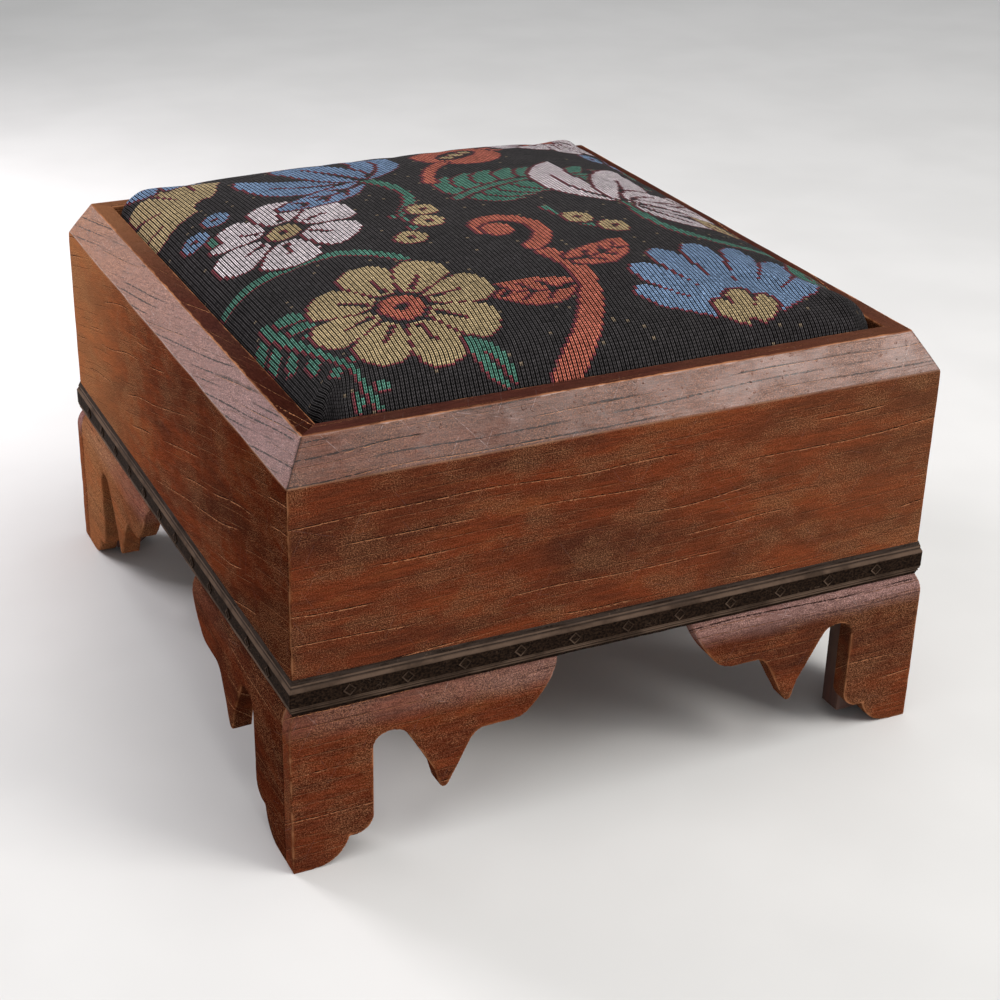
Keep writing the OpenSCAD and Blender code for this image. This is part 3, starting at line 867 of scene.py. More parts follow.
def makeBracket(node, finish, index):
    cut = bracketFeet
    low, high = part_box(node)
    alongX = node.startswith(crossSides)
    piece = softCopy(node, pieceName(node), finish, cut["voxel"], cut["smoothing"])
    points = readAll(piece.data.vertices, "co", 3)
    normals = readAll(piece.data.vertices, "normal", 3)

    # the top and the butt joint at the corner don't wear
    pairs = sharpEdges(node)
    frontLow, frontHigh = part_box("front_bracket_left")
    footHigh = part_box("back_bracket_right")[1]
    seam = footHigh[1] - (frontHigh[1] - frontLow[1])
    atSeam, atCorner = (np.all(np.abs(np.abs(pairs[:, :, axis]) - place) < cut["seamReach"], axis=1)
                        for axis, place in ((1, seam), (0, footHigh[0])))
    atTop = np.all(pairs[:, :, 2] > high[2] - 1 * mm, axis=1)
    arris = distanceToEdges(points, pairs[~((atSeam & atCorner) | atTop)])

    amount = cut["waver"] * wavers(points, *cut["lumps"], 21)
    amount *= (points[:, 2] < high[2] - cut["trueEnds"]) & (points[:, 2] > low[2] + cut["trueEnds"])
    moved = points + normals * amount[:, None]
    moved[:, 2] = np.maximum(moved[:, 2], low[2])
    movePoints(piece, moved)
    piece.data.shade_smooth()

    # the rolled shoulder under the moulding is dusty and pale, and takes the chamfer colour with its
    # painted sheen
    side = node.split("_")[0]
    run = points[:, 0] / footHigh[0] if alongX else points[:, 1] / footHigh[1]
    run = run * (-1 if side in ("back", "left") else 1)
    wander = cut["shoulderWander"] * waver(points, 14 * mm, 24)
    below = (points[:, 2] - high[2] + wander) / cut["shoulder"]
    shoulder = eased(np.clip(1.45 * below + 1.45, 0, 1))
    shoulder = shoulder * np.minimum(np.interp(run, (-1, 1), cut["shoulderDustAndSheen"][side]), 1)
    # painted light and shade along the foot, as on its side's board
    paintedLight = 0.5 + cut["paintedLightShare"][side] * (np.interp(run, (-1, 1), sidePaintedLight[side]) - 0.5)
    grain = points[:, [0, 2, 1]] if alongX else points[:, [1, 2, 0]]
    keepValues(piece, grain=grain + plankShift["foot"] * (index + 1),
               zone=np.stack([shoulder, 0 * shoulder, paintedLight], axis=1), arris=arris,
               joint=np.ones(len(points)))
    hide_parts(node)
    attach(piece, "carcase")


# The covered seat

cushion = {
    "rollWidth": 18 * mm,
    "rollHeight": 15 * mm,
    "rollFootBelowRim": 2 * mm,
    "cornerRound": 14 * mm,
    "turnUnder": 22 * mm,
    "crown": 23 * mm,
    "crownPower": 2.4,
    "cloth": 1.0 * mm,
    "rib": 2.26 * mm,           # width of one rib of the cloth
    "course": 1.65 * mm,        # length of one stitch
    "clear": 0.3 * mm,          # the cloth's foot lies so far above the solid's
    "frames": 20,
    "travelCap": 13 * mm,
    "startShare": 0.55,         # the crown before it swells
    "evened": 0.6,              # how far the stuffing evens out the swollen cloth
}

swelling = {
    "quality": 5,
    "mass": 0.3,
    "tension_stiffness": 15,
    "compression_stiffness": 15,
    "shear_stiffness": 7.5,
    "bending_stiffness": 0.5,
    "shrink_min": -0.01,        # the cloth is a little longer than its first shape
    "use_pressure": True,
    "uniform_pressure_force": 10,
    "vertex_group_mass": "held",
}

yarn = {
    "ground": (0.034, 0.031, 0.032),
    "white": (0.540, 0.480, 0.500),
    "terracotta": (0.370, 0.110, 0.075),
    "blue": (0.150, 0.225, 0.350),
    "green": (0.065, 0.165, 0.125),
    "ochre": (0.355, 0.270, 0.150),
    "outline": (0.210, 0.038, 0.052),
    "fluff": (0.150, 0.115, 0.080),
}


# Quarter ellipse of the edge roll, then straight down the side, then in under the rails
def edgeProfile(reach, drop):
    angles = np.linspace(0, math.pi / 2, 200)
    curve = np.stack([cushion["rollWidth"] * np.sin(angles),
                      -cushion["rollHeight"] * (1 - np.cos(angles))], axis=1)
    lengths = np.concatenate([[0], np.cumsum(np.linalg.norm(np.diff(curve, axis=0), axis=1))])
    roll = lengths[-1]
    under = np.clip(reach - roll - drop, 0, None)
    out = np.interp(reach, lengths, curve[:, 0]) - under
    down = np.interp(reach, lengths, curve[:, 1]) - np.clip(reach - roll, 0, drop)
    return out, down, roll, under


# Lines of the flat sheet, two ribs or stitches apart, out to a reach on both sides
def sheetLines(reach, pitch):
    count = 2 * int(reach / (2 * pitch)) + 1
    return (np.arange(count + 1) - count / 2) * 2 * pitch


def makeCover(finish):
    cut = cushion
    low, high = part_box("seat_cover")
    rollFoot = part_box("board_front")[1][2] - cut["rollFootBelowRim"]
    halfX, halfY = high[0], high[1]
    flatX, flatY = halfX - cut["rollWidth"], halfY - cut["rollWidth"]
    drop = rollFoot - low[2] - cut["clear"]
    margin = edgeProfile(np.zeros(1), drop)[2] + drop + cut["turnUnder"]
    sheetX, sheetY = np.meshgrid(sheetLines(flatX + margin, cut["rib"]),
                                 sheetLines(flatY + margin, cut["course"]))

    # each point of the flat sheet goes over the edge roll, down and under, or round a corner
    overX = np.clip(np.abs(sheetX) - flatX, 0, None)
    overY = np.clip(np.abs(sheetY) - flatY, 0, None)
    reach, least = np.maximum(overX, overY), np.minimum(overX, overY)
    out, down, roll, under = edgeProfile(reach, drop)
    share = np.divide(least, reach, out=np.zeros_like(reach), where=reach > 0) / 2
    turn = np.where(overX >= overY, share, 1 - share) * math.pi / 2
    corner = (out + under) * cut["cornerRound"] / cut["rollWidth"] - 0.5 * under
    shift = out - corner

    def folded(sheet, flat, over, otherOver, ray):
        level = np.abs(sheet) * (flat + np.where(otherOver > 0, shift, 0)) / flat
        straight = np.where(over > 0, flat + out, level)
        return np.where(least > 0, flat + shift + corner * ray, straight) * np.sign(sheet)

    x = folded(sheetX, flatX, overX, overY, np.cos(turn))
    y = folded(sheetY, flatY, overY, overX, np.sin(turn))
    crown = (1 - np.minimum(1, np.abs(x / halfX)) ** cut["crownPower"]) \
        * (1 - np.minimum(1, np.abs(y / halfY)) ** cut["crownPower"])
    rise = cut["crown"] * crown * (reach < roll)
    full = rollFoot + cut["rollHeight"] + down
    swollen = full + rise
    height = full + rise * cut["startShare"]
    points = np.stack([x, y, height], axis=2).reshape(-1, 3)
    rows, wide = sheetX.shape
    faces = [(j * wide + i, j * wide + i + 1, (j + 1) * wide + i + 1, (j + 1) * wide + i)
             for j in range(rows - 1) for i in range(wide - 1)]
    cover = addPiece("coverCloth", points, faces, finish)
    sheet = cover.data.uv_layers.new(name="cloth")
    flatSheet = np.stack([sheetX.ravel(), sheetY.ravel()], axis=1)
    loops = readAll(cover.data.loops, "vertex_index", 1, np.int64).ravel()
    sheet.data.foreach_set("uv", flatSheet[loops].astype(np.float32).ravel())
    swell(cover, points, reach.ravel() >= 0.98 * roll, swollen.ravel())
    runModifier(cover, "SUBSURF", levels=1, uv_smooth="NONE")
    paintCloth(cover, flatX + margin, flatY + margin)
    runModifier(cover, "SOLIDIFY", thickness=cut["cloth"], offset=-1.0, use_even_offset=False)
    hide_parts("seat_cover")
    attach(cover, "seat")
    return cover


# Cloth under pressure from the stuffing; the sides and the cloth under the rails are held
def swell(cover, points, held, swollen):
    cut = cushion
    group = cover.vertex_groups.new(name=swelling["vertex_group_mass"])
    group.add([int(index) for index in np.flatnonzero(held)], 1.0, "REPLACE")
    cloth = cover.modifiers.new("cloth", "CLOTH")
    for key, value in swelling.items():
        setattr(cloth.settings, key, value)
    cloth.settings.effector_weights.gravity = 0
    cloth.collision_settings.use_collision = False
    cloth.collision_settings.use_self_collision = False
    cloth.point_cache.frame_start, cloth.point_cache.frame_end = 1, cut["frames"]
    for step in range(1, cut["frames"] + 1):
        scene.frame_set(step)
    graph = bpy.context.evaluated_depsgraph_get()
    move = readAll(cover.evaluated_get(graph).data.vertices, "co", 3) - points
    cover.modifiers.clear()
    cover.vertex_groups.clear()
    scene.frame_set(1)

    # no point goes further than the cap, and the middle ends at the crown's height
    length = np.linalg.norm(move, axis=1)
    move *= (np.minimum(length, cut["travelCap"]) / np.maximum(length, 1e-9))[:, None]
    top = int(np.argmax(swollen))
    rise = (swollen[top] - points[top, 2]) / max(move[top, 2], 1e-6)
    result = points + move * np.clip(rise, 0.2, 4.0)
    result[:, 2] += cut["evened"] * (swollen - result[:, 2])
    print("cushion swells by", round(float(length.max() / mm), 2), "mm, share", round(rise, 3))
    movePoints(cover, result)


# Each stitch of the cloth takes one colour of yarn from the pattern
def paintCloth(cover, reachX, reachY):
    columns = 2 * int(reachX / cushion["rib"]) + 8
    rows = 2 * int(reachY / cushion["course"]) + 8
    shade, besides, below = weavePattern(columns, rows)
    mesh = cover.data
    uv = readAll(mesh.uv_layers["cloth"].data, "uv", 2).reshape(-1, 4, 2)
    middle = uv.mean(axis=1)
    column = np.floor(middle[:, 0] / cushion["rib"]).astype(int) + columns // 2
    row = np.floor(middle[:, 1] / cushion["course"]).astype(int) + rows // 2
    column, row = np.clip(column, 0, columns - 1), np.clip(row, 0, rows - 1)
    colour = np.repeat(shade[row, column][:, None], 4, axis=1)
    ahead = uv > middle[:, None]
    thread = (besides[row, column][:, None] & ahead[:, :, 0]) \
        | (below[row, column][:, None] & ahead[:, :, 1])
    colour[thread] = yarn["outline"]
    layer = mesh.attributes.new("yarn", "FLOAT_COLOR", "CORNER")
    full = np.concatenate([colour, np.ones(colour.shape[:2] + (1,))], axis=2)
    layer.data.foreach_set("color", full.astype(np.float32).ravel())


# Shapes of the woven garden. Each says which stitches at x and y it covers.

def turned(x, y, place, angle):
    dx, dy = x - place[0], y - place[1]
    c, s = math.cos(math.radians(angle)), math.sin(math.radians(angle))
    return dx * c + dy * s, dy * c - dx * s


# A pointed leaf or petal from its foot at place, with a dark vein that tapers to its tip and
# as many pairs of side veins as asked for
def blade(x, y, place, angle, length, width, bend=0.0, vein=2.2, pairs=0):
    u, v = turned(x, y, place, angle)
    share = np.clip(u / length, 0, 1)
    v = v - bend * length * share * (1 - share) * 4
    outline = width / 2 * (share * (1 - share) * 4) ** 0.62 * (1.12 - 0.3 * share)
    shape = (u > 0) & (u < length) & (np.abs(v) < outline)
    thick = vein * (1 - share / 0.82)
    dark = (np.abs(v) < np.maximum(thick, 1.2)) & (thick > 0.5)
    if pairs:
        slope = (u - 0.9 * np.abs(v)) / (length * 0.72) * pairs
        dark |= (np.abs(slope - np.round(slope)) < 0.17) & (np.abs(v) < outline * 0.72) \
            & (slope > 0.5) & (slope < pairs + 0.4)
    return shape & ~dark


def rosette(x, y, place, radius, petals, turn, core=0.30):
    u, v = turned(x, y, place, turn)
    away, angle = np.hypot(u, v), np.arctan2(v, u)
    part = angle * petals / (2 * math.pi)
    lean = (part - np.round(part)) * 2 * math.pi / petals
    side = np.abs(np.sin(lean)) * away
    share = np.clip((away * np.cos(lean) / radius - core) / (1 - core), 0, 1)
    widest = math.pi * radius / petals * 0.93
    outline = widest * (share + 0.12) ** 0.7 * np.sqrt(np.clip(1 - share ** 4, 0, 1))
    shape = (share > 0) & (share < 1) & (side < outline)
    thick = 2.4 * (1 - share / 0.66)
    slit = (side < np.maximum(thick, 1.2)) & (thick > 0.5) & (share > 0.06)
    return shape & ~slit


def ringed(x, y, place, radius, hole=0.0):
    away = np.hypot(x - place[0], y - place[1])
    return (away < radius) & (away >= hole)


def fan(x, y, place, angle, radius, ribs, spread=68):
    u, v = turned(x, y, place, angle)
    away, lean = np.hypot(u, v), np.degrees(np.arctan2(v, u))
    part = lean / (2 * spread) * ribs
    local = part - np.round(part)
    edge = radius * (1 - 0.30 * np.abs(lean / spread) ** 2.5)
    tip = edge * (1 - 0.75 * local ** 2)
    shape = (np.abs(lean) < spread) & (away < tip) & (away > radius * 0.16)
    gap = (0.5 - np.abs(local)) * 2 * spread / ribs * math.pi / 180 * away
    slit = (gap < 2.6 * (away - radius * 0.40) / (radius * 0.6)) & (away > radius * 0.40)
    return shape & ~slit


# The round body of a fruit with an oval opening
def husk(x, y, place, angle, size):
    u, v = turned(x, y, place, angle)
    opening = size * 0.36 * np.sqrt(np.clip(1 - (u / (size * 0.7)) ** 2, 0, 1))
    return ringed(x, y, place, size) & ~((np.abs(v) < opening) & (np.abs(u) < size * 0.7))


# A band along a curve given as points, from one width to another
def band(x, y, points, startWidth, endWidth):
    mask = np.zeros(x.shape, dtype=bool)
    total = len(points) - 1
    for i, ((ax, ay), (bx, by)) in enumerate(zip(points, points[1:])):
        length = max((bx - ax) ** 2 + (by - ay) ** 2, 1e-6)
        share = np.clip(((x - ax) * (bx - ax) + (y - ay) * (by - ay)) / length, 0, 1)
        away = np.hypot(x - ax - share * (bx - ax), y - ay - share * (by - ay))
        mask |= away < (startWidth + (endWidth - startWidth) * (i + share) / total) / 2
    return mask


def spiral(place, radius, start, turns, innermost=0.2, count=30):
    reach = [radius * (1 - (1 - innermost) * k / count) for k in range(count + 1)]
    return [(place[0] + reach[k] * math.cos(start + turns * k / count),
             place[1] + reach[k] * math.sin(start + turns * k / count)) for k in range(count + 1)]


def bow(start, middle, end, count=16):
    steps = [k / count for k in range(count + 1)]
    return [((1 - t) ** 2 * start[0] + 2 * t * (1 - t) * middle[0] + t * t * end[0],
             (1 - t) ** 2 * start[1] + 2 * t * (1 - t) * middle[1] + t * t * end[1])
            for t in steps]


# Plants that are made of several shapes

def fern(path, size):
    leaves = []
    for k in range(1, len(path) - 1, 2):
        (ax, ay), (bx, by) = path[k], path[k + 1]
        lean = math.degrees(math.atan2(by - ay, bx - ax))
        small = size * (1 - 0.55 * k / len(path))
        leaves += [("green", blade, (ax, ay), lean + 50 * way, small, small * 0.42, 0.1 * way, 0.0)
                   for way in (-1, 1)]
    return leaves + [("green", band, path, 5.0, 3.0)]


def tulip(colour, place, angle, size):
    petals = [(colour, blade, place, angle + 30 * way, size, size * 0.36, 0.20 * way, 2.6)
              for way in (-1, 1)]
    return petals + [(colour, blade, place, angle, size * 1.02, size * 0.40, 0.0, 3.0)]


def fruit(colour, seedColour, place, angle, size):
    def ahead(far):
        turn = math.radians(angle)
        return place[0] + far * size * math.cos(turn), place[1] + far * size * math.sin(turn)

    leaves = [(colour, blade, ahead(0.7), angle + lean, size * 0.8, size * 0.36, 0.0, 0.0)
              for lean in (-38, 0, 38)]
    seeds = [(seedColour, ringed, ahead(0.38 * k), size * 0.15) for k in (-1, 0, 1)]
    return leaves + [(colour, husk, place, angle, size)] + seeds


def berries(colour, places, foot):
    stalks = [("green", band, bow(foot, (foot[0], place[1]), place, 8), 3, 3) for place in places]
    return stalks + [(colour, ringed, place, 8.2, 2.4) for place in places]


# The garden, in millimetres from the middle of the seat: stems, then leaves, then flowers
garden = [
    ("green", band, bow((-160, -30), (-70, -24), (-60, -84)), 7, 5),
    ("green", band, bow((150, -92), (70, -96), (88, -18)), 7, 5),
    ("green", band, bow((-40, 66), (-10, 20), (-48, -8)), 7, 5),
    ("green", band, spiral((22, 152), 30, -0.9, 5.6), 10, 5),
    *fern(bow((-4, 6), (40, 38), (128, 34), 18), 38),
    *fern(bow((-152, -72), (-150, -110), (-120, -176), 12), 24),
    ("terracotta", band, bow((-26, -178), (34, -120), (0, -74)), 13, 10),
    ("terracotta", band, spiral((-6, -48), 27, -1.25, 5.2), 10, 6),
    ("terracotta", ringed, (-6, -48), 8.5),
    ("terracotta", blade, (6, -118), 172, 52, 24, 0.12, 2.4, 3),
    ("terracotta", blade, (10, -96), 22, 46, 22, -0.12, 2.4, 3),
    ("ochre", rosette, (-88, -112), 50, 8, 8),
    ("terracotta", ringed, (-88, -112), 11, 4),
    ("blue", fan, (84, -168), 88, 78, 7),
    ("ochre", fan, (84, -168), 88, 26, 3),
    *tulip("white", (86, -22), 64, 86),
    *tulip("white", (90, -24), -8, 54),
    ("white", rosette, (-106, 12), 44, 6, 16),
    ("ochre", ringed, (-106, 12), 9, 3),
    *tulip("blue", (-38, 62), 112, 78),
    ("blue", blade, (-40, 58), 196, 60, 22, 0.1, 2.2, 3),
    *fruit("terracotta", "ochre", (36, 98), 36, 27),
    ("terracotta", band, bow((18, 78), (2, 66), (-6, 40)), 7, 6),
    ("white", rosette, (112, 140), 42, 9, 0),
    ("terracotta", ringed, (112, 140), 10, 3.5),
    ("ochre", fan, (-122, 92), 128, 62, 5),
    ("terracotta", blade, (-70, 132), 70, 60, 26, -0.1, 2.4, 3),
    ("blue", rosette, (-128, 168), 30, 5, 0),
    *berries("blue", ((144, 78), (128, 92), (150, 98)), (138, 52)),
    *berries("ochre", ((-34, -22), (-52, -40), (-30, -4)), (-44, -8)),
    *berries("blue", ((-146, 54), (-128, 66)), (-140, 36)),
    *berries("ochre", ((44, -44), (58, -60)), (34, -24)),
    ("ochre", blade, (140, -70), 110, 40, 16, 0.1, 2.0),
    ("green", blade, (150, -150), 100, 44, 18, 0.1, 2.0),
    ("green", blade, (-52, -176), 120, 34, 14, 0.0, 2.0),
    ("blue", blade, (-8, 128), 150, 44, 18, 0.1, 2.0),
]

weave = {"seed": 7, "uneven": 0.15, "fluffShare": 0.010, "darkest": 0.004}


# Colours of all the stitches, and where the outline thread runs: along the left of a shape
# and under it, half a stitch wide
def weavePattern(columns, rows):
    x = (np.arange(columns) - columns // 2 + 0.5)[None, :] * cushion["rib"] / mm
    y = (np.arange(rows) - rows // 2 + 0.5)[:, None] * cushion["course"] / mm
    x, y = np.broadcast_arrays(x, y)
    names = list(yarn)
    label = np.zeros((rows, columns), dtype=int)
    for colour, shape, *how in garden:
        mask = shape(x, y, *how)
        halo = mask.copy()
        for dx, dy in itertools.product((-1, 0, 1), repeat=2):
            halo |= np.roll(np.roll(mask, dx, axis=1), dy, axis=0)
        label[halo] = 0
        label[mask] = names.index(colour)
    figured = label > 0
    besides = ~figured & np.roll(figured, -1, axis=1)
    below = ~figured & np.roll(figured, -1, axis=0)
    shade = np.array([yarn[name] for name in names])[label]
    rng = np.random.default_rng(weave["seed"])
    shade = shade * rng.normal(1.0, weave["uneven"], (rows, columns, 1))
    fluff = (rng.random((rows, columns)) < weave["fluffShare"]) & ~figured
    shade[fluff] = yarn["fluff"]
    return np.clip(shade, weave["darkest"], 1), besides, below


ribbedCloth = {
    "gap": 0.03,            # how dark the painted shade in the gap between two ribs is
    # how far the tops of the ribs are painted lighter
    "peak": 2.35,
    "rough": 0.92,
    "gloss": 0.03,
    "sheen": 0.02,
    "depth": 0.9 * mm,
}


def coverFinish(name):
    cloth = ribbedCloth
    startFinish(name)
    across, along = apart(take(0, "UVMap", uv_map="cloth"))[:2]
    place = take("Object", "TexCoord")
    fromGap = calc("PINGPONG", across / cushion["rib"], 0.5)    # 0 between ribs, 0.5 on top
    courses = along / cushion["course"] + fromGap * 1.6 + cloud(place, 90, 90, 1) * 0.5
    acrossRib = between(fromGap, 0.07, 0.30) * between(fromGap, 0.32, 0.48, 1.0, 0.25)
    alongRib = between(abs(calc("SINE", courses * math.pi)), 0.0, 0.8, 0.30, 1.0)
    stitch = acrossRib * alongRib
    fuzz = cloud(place, 2600, 2600, 2, 0.6)
    faded = between(cloud(place, 22, 22, 3, 0.6), 0.3, 0.7, 0.86, 1.08)
    # painted shade in the gaps between ribs and stitches and painted light on their tops, on the
    # same relief as the bump
    shade = between(stitch, 0.10, 0.92, cloth["gap"], cloth["peak"])
    shade = shade * between(fuzz, 0.25, 0.75, 0.75, 1.2) * faded
    grey = take(0, "CombineXYZ", {0: shade, 1: shade, 2: shade})
    tone = tinted(ofPiece("yarn", "Color"), grey)
    return finishOff(tone, cloth["rough"], stitch + fuzz * 0.25, cloth["depth"], 0.8,
                     Sheen_Weight=cloth["sheen"], Sheen_Roughness=0.5,
                     Specular_IOR_Level=cloth["gloss"])


# Stuffing under the cloth: a lumpy pad of curled fibre
stuffingPad = {
    "cell": 4 * mm,
    "smoothing": 2,
    "shrunk": (0.965, 0.965, 0.88),
    "lump": 0.9 * mm,
    "lumpSize": 14 * mm,
    "underCloth": 3 * mm,
    "rough": 0.95,
    "fibre": (0.16, 0.105, 0.060),
    "shade": (0.035, 0.022, 0.013),
}


def stuffingFinish(name):
    startFinish(name)
    curls = lines(cloud(take("Object", "TexCoord"), 420, 420, 3, 0.6, 1.5), 0.06)
    tone = blend(curls, stuffingPad["shade"], stuffingPad["fibre"])
    return finishOff(tone, stuffingPad["rough"], curls, 1 * mm, 0.8)


def makeStuffing(finish, cover):
    cut = stuffingPad
    pad = softCopy("stuffing", "stuffingPad", finish, cut["cell"], cut["smoothing"])
    points = readAll(pad.data.vertices, "co", 3)
    low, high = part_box("stuffing")
    middle = np.array([0, 0, (low[2] + high[2]) / 2])
    points = middle + (points - middle) * np.array(cut["shrunk"])
    points[:, 2] += cut["lump"] * waver(points, cut["lumpSize"], 31)
    cloth = BVHTree.FromPolygons([v.co for v in cover.data.vertices],
                                 [p.vertices for p in cover.data.polygons])
    for point in points:
        above = cloth.ray_cast((point[0], point[1], 1.0), (0, 0, -1))[0]
        if above:
            point[2] = min(point[2], above.z - cut["underCloth"])
    points[:, 2] = np.maximum(points[:, 2], low[2])
    movePoints(pad, points)
    pad.data.shade_smooth()
    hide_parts("stuffing")
    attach(pad, "seat")


# Webs and hessian

jute = {"light": (0.34, 0.235, 0.120), "dark": (0.130, 0.080, 0.036), "grime": (0.10, 0.065, 0.035)}


# Plain weave, or a herringbone where zigzag gives the width of its stripes
def juteFinish(name, pitch, zigzag=0.0):
    startFinish(name)
    coords = grainCoords()
    along, across = apart(coords)[:2]
    if zigzag:
        along = along + calc("PINGPONG", across, zigzag)
    warp, weft = (calc("SINE", way * (2 * math.pi / pitch)) for way in (across, along))
    height = warp * weft * 0.5 + cloud(coords, 300, 900, 3, 0.6)
    grime = between(cloud(coords, 25, 25, 3, 0.6), 0.45, 0.75, 0.0, 0.6)
    tone = toneRamp(height * 0.6, {0.05: jute["dark"], 0.55: jute["light"]})
    return finishOff(blend(grime, tone, jute["grime"]), 0.9, height, 0.6 * mm, 0.7)


webbing = {
    "thickness": 1.3 * mm,
    "clear": 0.3 * mm,          # air between crossing webs, and under them
    "flatPast": 1 * mm,         # how far a web stays level past the one that it crosses
    "slope": 10 * mm,
    "step": 2 * mm,
    "columns": 18,
    "wander": 0.4 * mm,
    "weavePitch": 1.6 * mm,
    "herringbone": 5 * mm,
}

hessianCloth = {
    "thickness": 0.7 * mm,
    "step": 4 * mm,
    "sag": 0.5 * mm,
    "slope": 8 * mm,
    "wander": 0.5 * mm,
    "weavePitch": 1.3 * mm,
}


# A level strip of cloth with closed edges. run and reach are places along and across it, and
# height its middle surface over them.
def layCloth(name, run, reach, height, cut, finish, alongX, seed):
    share = np.abs(reach - reach.mean()) / np.ptp(reach) * 2
    half = cut["thickness"] / 2 * np.sqrt(np.clip(1 - share ** 24, 0, 1))
    ring = np.concatenate([reach, reach[-2:0:-1]])
    heights = np.concatenate([height + half, (height - half)[:, -2:0:-1]], axis=1)
    runGrid, ringGrid = np.meshgrid(run, ring, indexing="ij")
    flat = np.stack([runGrid, ringGrid, heights], axis=2).reshape(-1, 3)
    edge = np.tile(np.concatenate([share, share[-2:0:-1]]), len(run)) ** 4
    flat[:, 1] += cut["wander"] * edge * waver(flat * (1, 0.02, 0), 13 * mm, seed)
    places = flat if alongX else flat[:, [1, 0, 2]]
    piece = addPiece(name, places, ringFaces(len(run), len(ring)), finish, 60)
    keepValues(piece, grain=flat)
    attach(piece, "seat")
    return piece


# The webs go over and under each other by turns
def makeWeb(node, index, finish):
    cut = webbing
    low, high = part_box(node)
    alongX = "across" in node
    axis = 0 if alongX else 1
    others = [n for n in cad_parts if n.startswith("web_along" if alongX else "web_across")]
    run = np.linspace(low[axis], high[axis], int((high[axis] - low[axis]) / cut["step"]))
    reach = np.linspace(low[1 - axis], high[1 - axis], cut["columns"])
    reach = reach.mean() + (reach - reach.mean()) * 0.99
    lift = np.zeros(len(run))
    places = sorted((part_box(n)[0][axis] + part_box(n)[1][axis]) / 2 for n in others)
    for i, place in enumerate(places):
        over = (i + index + 1 - alongX) % 2
        past = np.abs(run - place) - np.ptp(reach) / 2 - cut["flatPast"]
        lift = np.maximum(lift, over * (1 - np.clip(past / cut["slope"], 0, 1)))
    lift = eased(lift) * (cut["thickness"] + cut["clear"])
    height = np.repeat(lift[:, None], len(reach), axis=1)
    height += low[2] + cut["clear"] / 2 + cut["thickness"] / 2
    piece = layCloth(pieceName(node), run, reach, height, cut, finish, alongX,
                     61 + index + 3 * alongX)
    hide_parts(node)
    return piece


def makeHessian(finish):
    cut = hessianCloth
    low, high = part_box("hessian")
    run, reach = (np.linspace(low[axis], high[axis], int((high[axis] - low[axis]) / cut["step"]))
                  for axis in (0, 1))
    hollow = []     # 1 between the webs and 0 on them, along X and along Y
    for places, kind, axis in ((run, "web_along", 0), (reach, "web_across", 1)):
        best = np.ones(len(places))
        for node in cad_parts:
            if node.startswith(kind):
                a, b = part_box(node)[0][axis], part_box(node)[1][axis]
                past = np.abs(places - (a + b) / 2) - (b - a) / 2
                best = np.minimum(best, np.clip(past / cut["slope"], 0, 1))
        hollow.append(eased(best))
    height = (low[2] + high[2]) / 2 - cut["sag"] * np.outer(*hollow)
    piece = layCloth("hessianCloth", run, reach, height, cut, finish, True, 71)
    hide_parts("hessian")


# Small fastenings

fastenings = {
    "tack": 5.0 * mm,
    "tackPitch": 32 * mm,
    "tackIn": 19.4 * mm,        # from the edge of the cover
    "tackEnd": 14 * mm,         # a row of tacks stops so far before the corner
    "tackWander": 1.6 * mm,
    "tackSunk": 0.1 * mm,
    "tackRings": ((0.9, -0.6 * mm), (1, 0.0), (0.85, 0.3 * mm), (0.45, 0.55 * mm)),
    "screw": 8.5 * mm,
    "screwSlot": 0.45 * mm,
    "screwPlaces": (-0.72, 0.0, 0.72),      # along half a ledge
    "screwRings": ((1, -0.8 * mm), (1, 0.12 * mm), (0.92, 0.25 * mm), (0.5, 0.32 * mm),
                   (0.2, 0.34 * mm)),
    "crispAngle": 40,
    "rust": (0.10, 0.035, 0.015),
}


def metalFinish(name, colour, rough):
    startFinish(name)
    spots = cloud(take("Object", "TexCoord"), 700, 700, 3, 0.6)
    tone = blend(between(spots, 0.45, 0.7, 0.0, 0.7), colour, fastenings["rust"])
    return finishOff(tone, rough, spots, 0.2 * mm, 0.5, Metallic=0.9)


# A turned head on its axis, from rings of (share of the radius, height)
def turnedHead(points, faces, place, axis, radius, rings, count=14, slot=0.0):
    axis = Vector(axis).normalized()
    side = axis.orthogonal().normalized()
    other = axis.cross(side)
    faces += ringFaces(len(rings), count, len(points))
    for share, height in rings:
        for k in range(count):
            angle = 2 * math.pi * k / count
            aside, across = (share * radius * f(angle) for f in (math.cos, math.sin))
            spot = Vector(place) + side * aside + other * across + axis * height
            if slot and abs(across) < slot and share < 1:
                spot = spot - axis * slot
            points.append(tuple(spot))


def makeTacks(finish):
    cut = fastenings
    low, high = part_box("seat_cover")
    points, faces = [], []
    reachX, reachY = high[0] - cut["tackIn"], high[1] - cut["tackIn"]
    for reach, other, swap in ((reachX, reachY, False), (reachY, reachX, True)):
        span = reach - cut["tackEnd"]
        count = int(2 * span / cut["tackPitch"])
        for sign, i in itertools.product((-1, 1), range(count + 1)):
            along = (i / count * 2 - 1) * span + cut["tackWander"] * math.sin(5 * i + sign)
            spot = (sign * other, along) if swap else (along, sign * other)
            turnedHead(points, faces, (*spot, low[2] + cut["tackSunk"]), (0, 0, -1),
                       cut["tack"] / 2, cut["tackRings"])
    piece = addPiece("coverTacks", points, faces, finish, cut["crispAngle"])
    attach(piece, "seat")


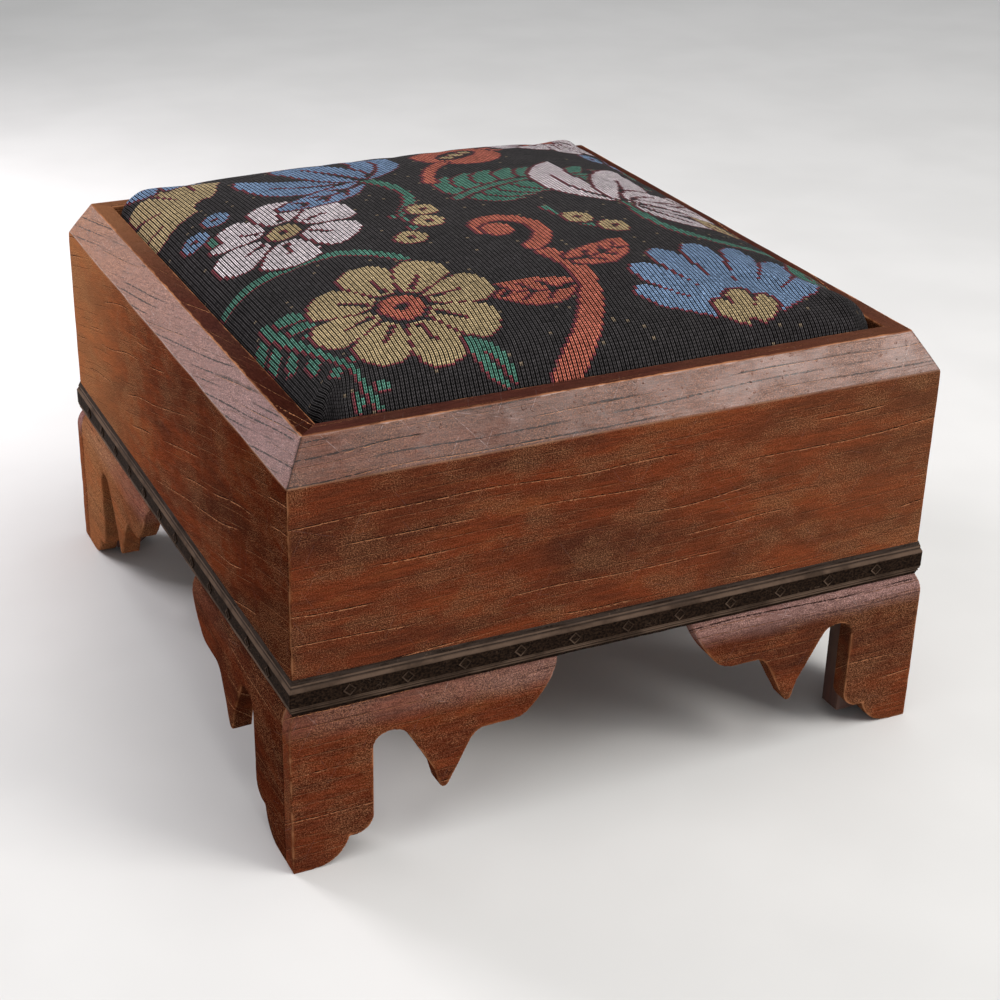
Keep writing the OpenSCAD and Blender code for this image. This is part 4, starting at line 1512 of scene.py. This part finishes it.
def makeScrews(finish):
    cut = fastenings
    points, faces = [], []
    for side in sides:
        low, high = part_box("ledge_" + side)
        run = 0 if side in crossSides else 1
        facing = 1 if side in ("front", "left") else -1
        for share in cut["screwPlaces"]:
            spot, axis = [0, 0, (low[2] + high[2]) / 2], [0, 0, 0]
            spot[run] = share * high[run]
            spot[1 - run] = (high if facing == 1 else low)[1 - run]
            axis[1 - run] = facing
            turnedHead(points, faces, spot, axis, cut["screw"] / 2, cut["screwRings"], 20,
                       cut["screwSlot"])
    piece = addPiece("ledgeScrews", points, faces, finish, cut["crispAngle"])
    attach(piece, "carcase")


# Floor and sky

paleFloor = {"light": (0.74, 0.74, 0.73), "dark": (0.70, 0.70, 0.69), "rough": 0.8, "size": 30}


def makeFloor():
    startFinish("paleFloor")
    spots = cloud(take("Object", "TexCoord"), 7, 7, 3)
    tone = blend(between(spots, 0.3, 0.7), paleFloor["dark"], paleFloor["light"])
    far = paleFloor["size"]
    points = [(-far, -far, 0), (far, -far, 0), (far, far, 0), (-far, far, 0)]
    floor = addPiece("floor", points, [(0, 1, 2, 3)], finishOff(tone, paleFloor["rough"]))


def setSky():
    scene.world = bpy.data.worlds.new("studioSky")
    startTree(scene.world)
    light = take(0, "Background", {"Color": (*studio["skyColour"], 1),
                                   "Strength": studio["skyStrength"]})
    seen = take(0, "Background", {"Color": (*studio["backdrop"], 1), "Strength": 1.0})
    eye, through, mirrored = (take("Is " + ray + " Ray", "LightPath")
                              for ray in ("Camera", "Transmission", "Glossy"))
    direct = calc("MAXIMUM", calc("MAXIMUM", eye, through), mirrored)
    put("OutputWorld", {"Surface": take(0, "MixShader", {0: direct, 1: light, 2: seen})})


# Putting it together

setCamera()
for lampName in ("key", "rim", "top"):
    addLamp(lampName, studio[lampName])
setSky()
makeFloor()
print("camera, lamps and floor are in place")

boardFinish = mahoganyFinish("mahoganyBoards", mahogany["boardTint"])
chamferFinish = mahoganyFinish("mahoganyChamfers", gloss=mahogany["chamferGloss"])
footFinish = mahoganyFinish("mahoganyFeet", mahogany["footTint"], mahogany["footWear"], folded=0.0)
edging = mouldingFinish("darkMoulding")
for sideName in sides:
    makeBoard(sideName, boardFinish, chamferFinish)
    makeMoulding(sideName, edging)
print("box and mouldings are made")

feet = [side + "_bracket_" + end for side in sides
        for end in (("left", "right") if side in crossSides else crossSides)]
for number, footNode in enumerate(feet):
    makeBracket(footNode, footFinish, number)
print("bracket feet are made")

pineAcross, pineAlong, pineUp = (bareWoodFinish("pine" + k.upper(), "pine", k) for k in "xyz")
beechAcross, beechAlong = (bareWoodFinish("beech" + k.upper(), "beech", k) for k in "xy")
stainedUp = bareWoodFinish("stainedPine", "stained", "z")
for nodeName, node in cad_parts.items():
    acrossBox = nodeName.endswith(crossSides)
    if "_block_" in nodeName:
        finish = stainedUp if nodeName.startswith("foot") else pineUp
    elif nodeName.startswith("ledge_"):
        finish = pineAcross if acrossBox else pineAlong
    elif nodeName.startswith("seat_rail_"):
        finish = beechAcross if acrossBox else beechAlong
    else:
        continue
    node.data.materials.clear()
    node.data.materials.append(finish)
print("hidden woodwork has its finishes")

webFinish = juteFinish("juteWebbing", webbing["weavePitch"], webbing["herringbone"])
webs = [makeWeb(kind + place, number, webFinish)
        for kind, places in (("web_across_", ("front", "middle", "back")),
                             ("web_along_", ("left", "middle", "right")))
        for number, place in enumerate(places)]
makeHessian(juteFinish("juteHessian", hessianCloth["weavePitch"]))
print("webs and hessian are laid")

makeStuffing(stuffingFinish("curledFibre"), makeCover(coverFinish("ribbedCloth")))
print("seat is covered")
makeTacks(metalFinish("blackTack", (0.05, 0.05, 0.055), 0.45))
makeScrews(metalFinish("oldSteel", (0.35, 0.33, 0.31), 0.4))
print("tacks and screws are in")

scene.view_settings.view_transform = "Standard"
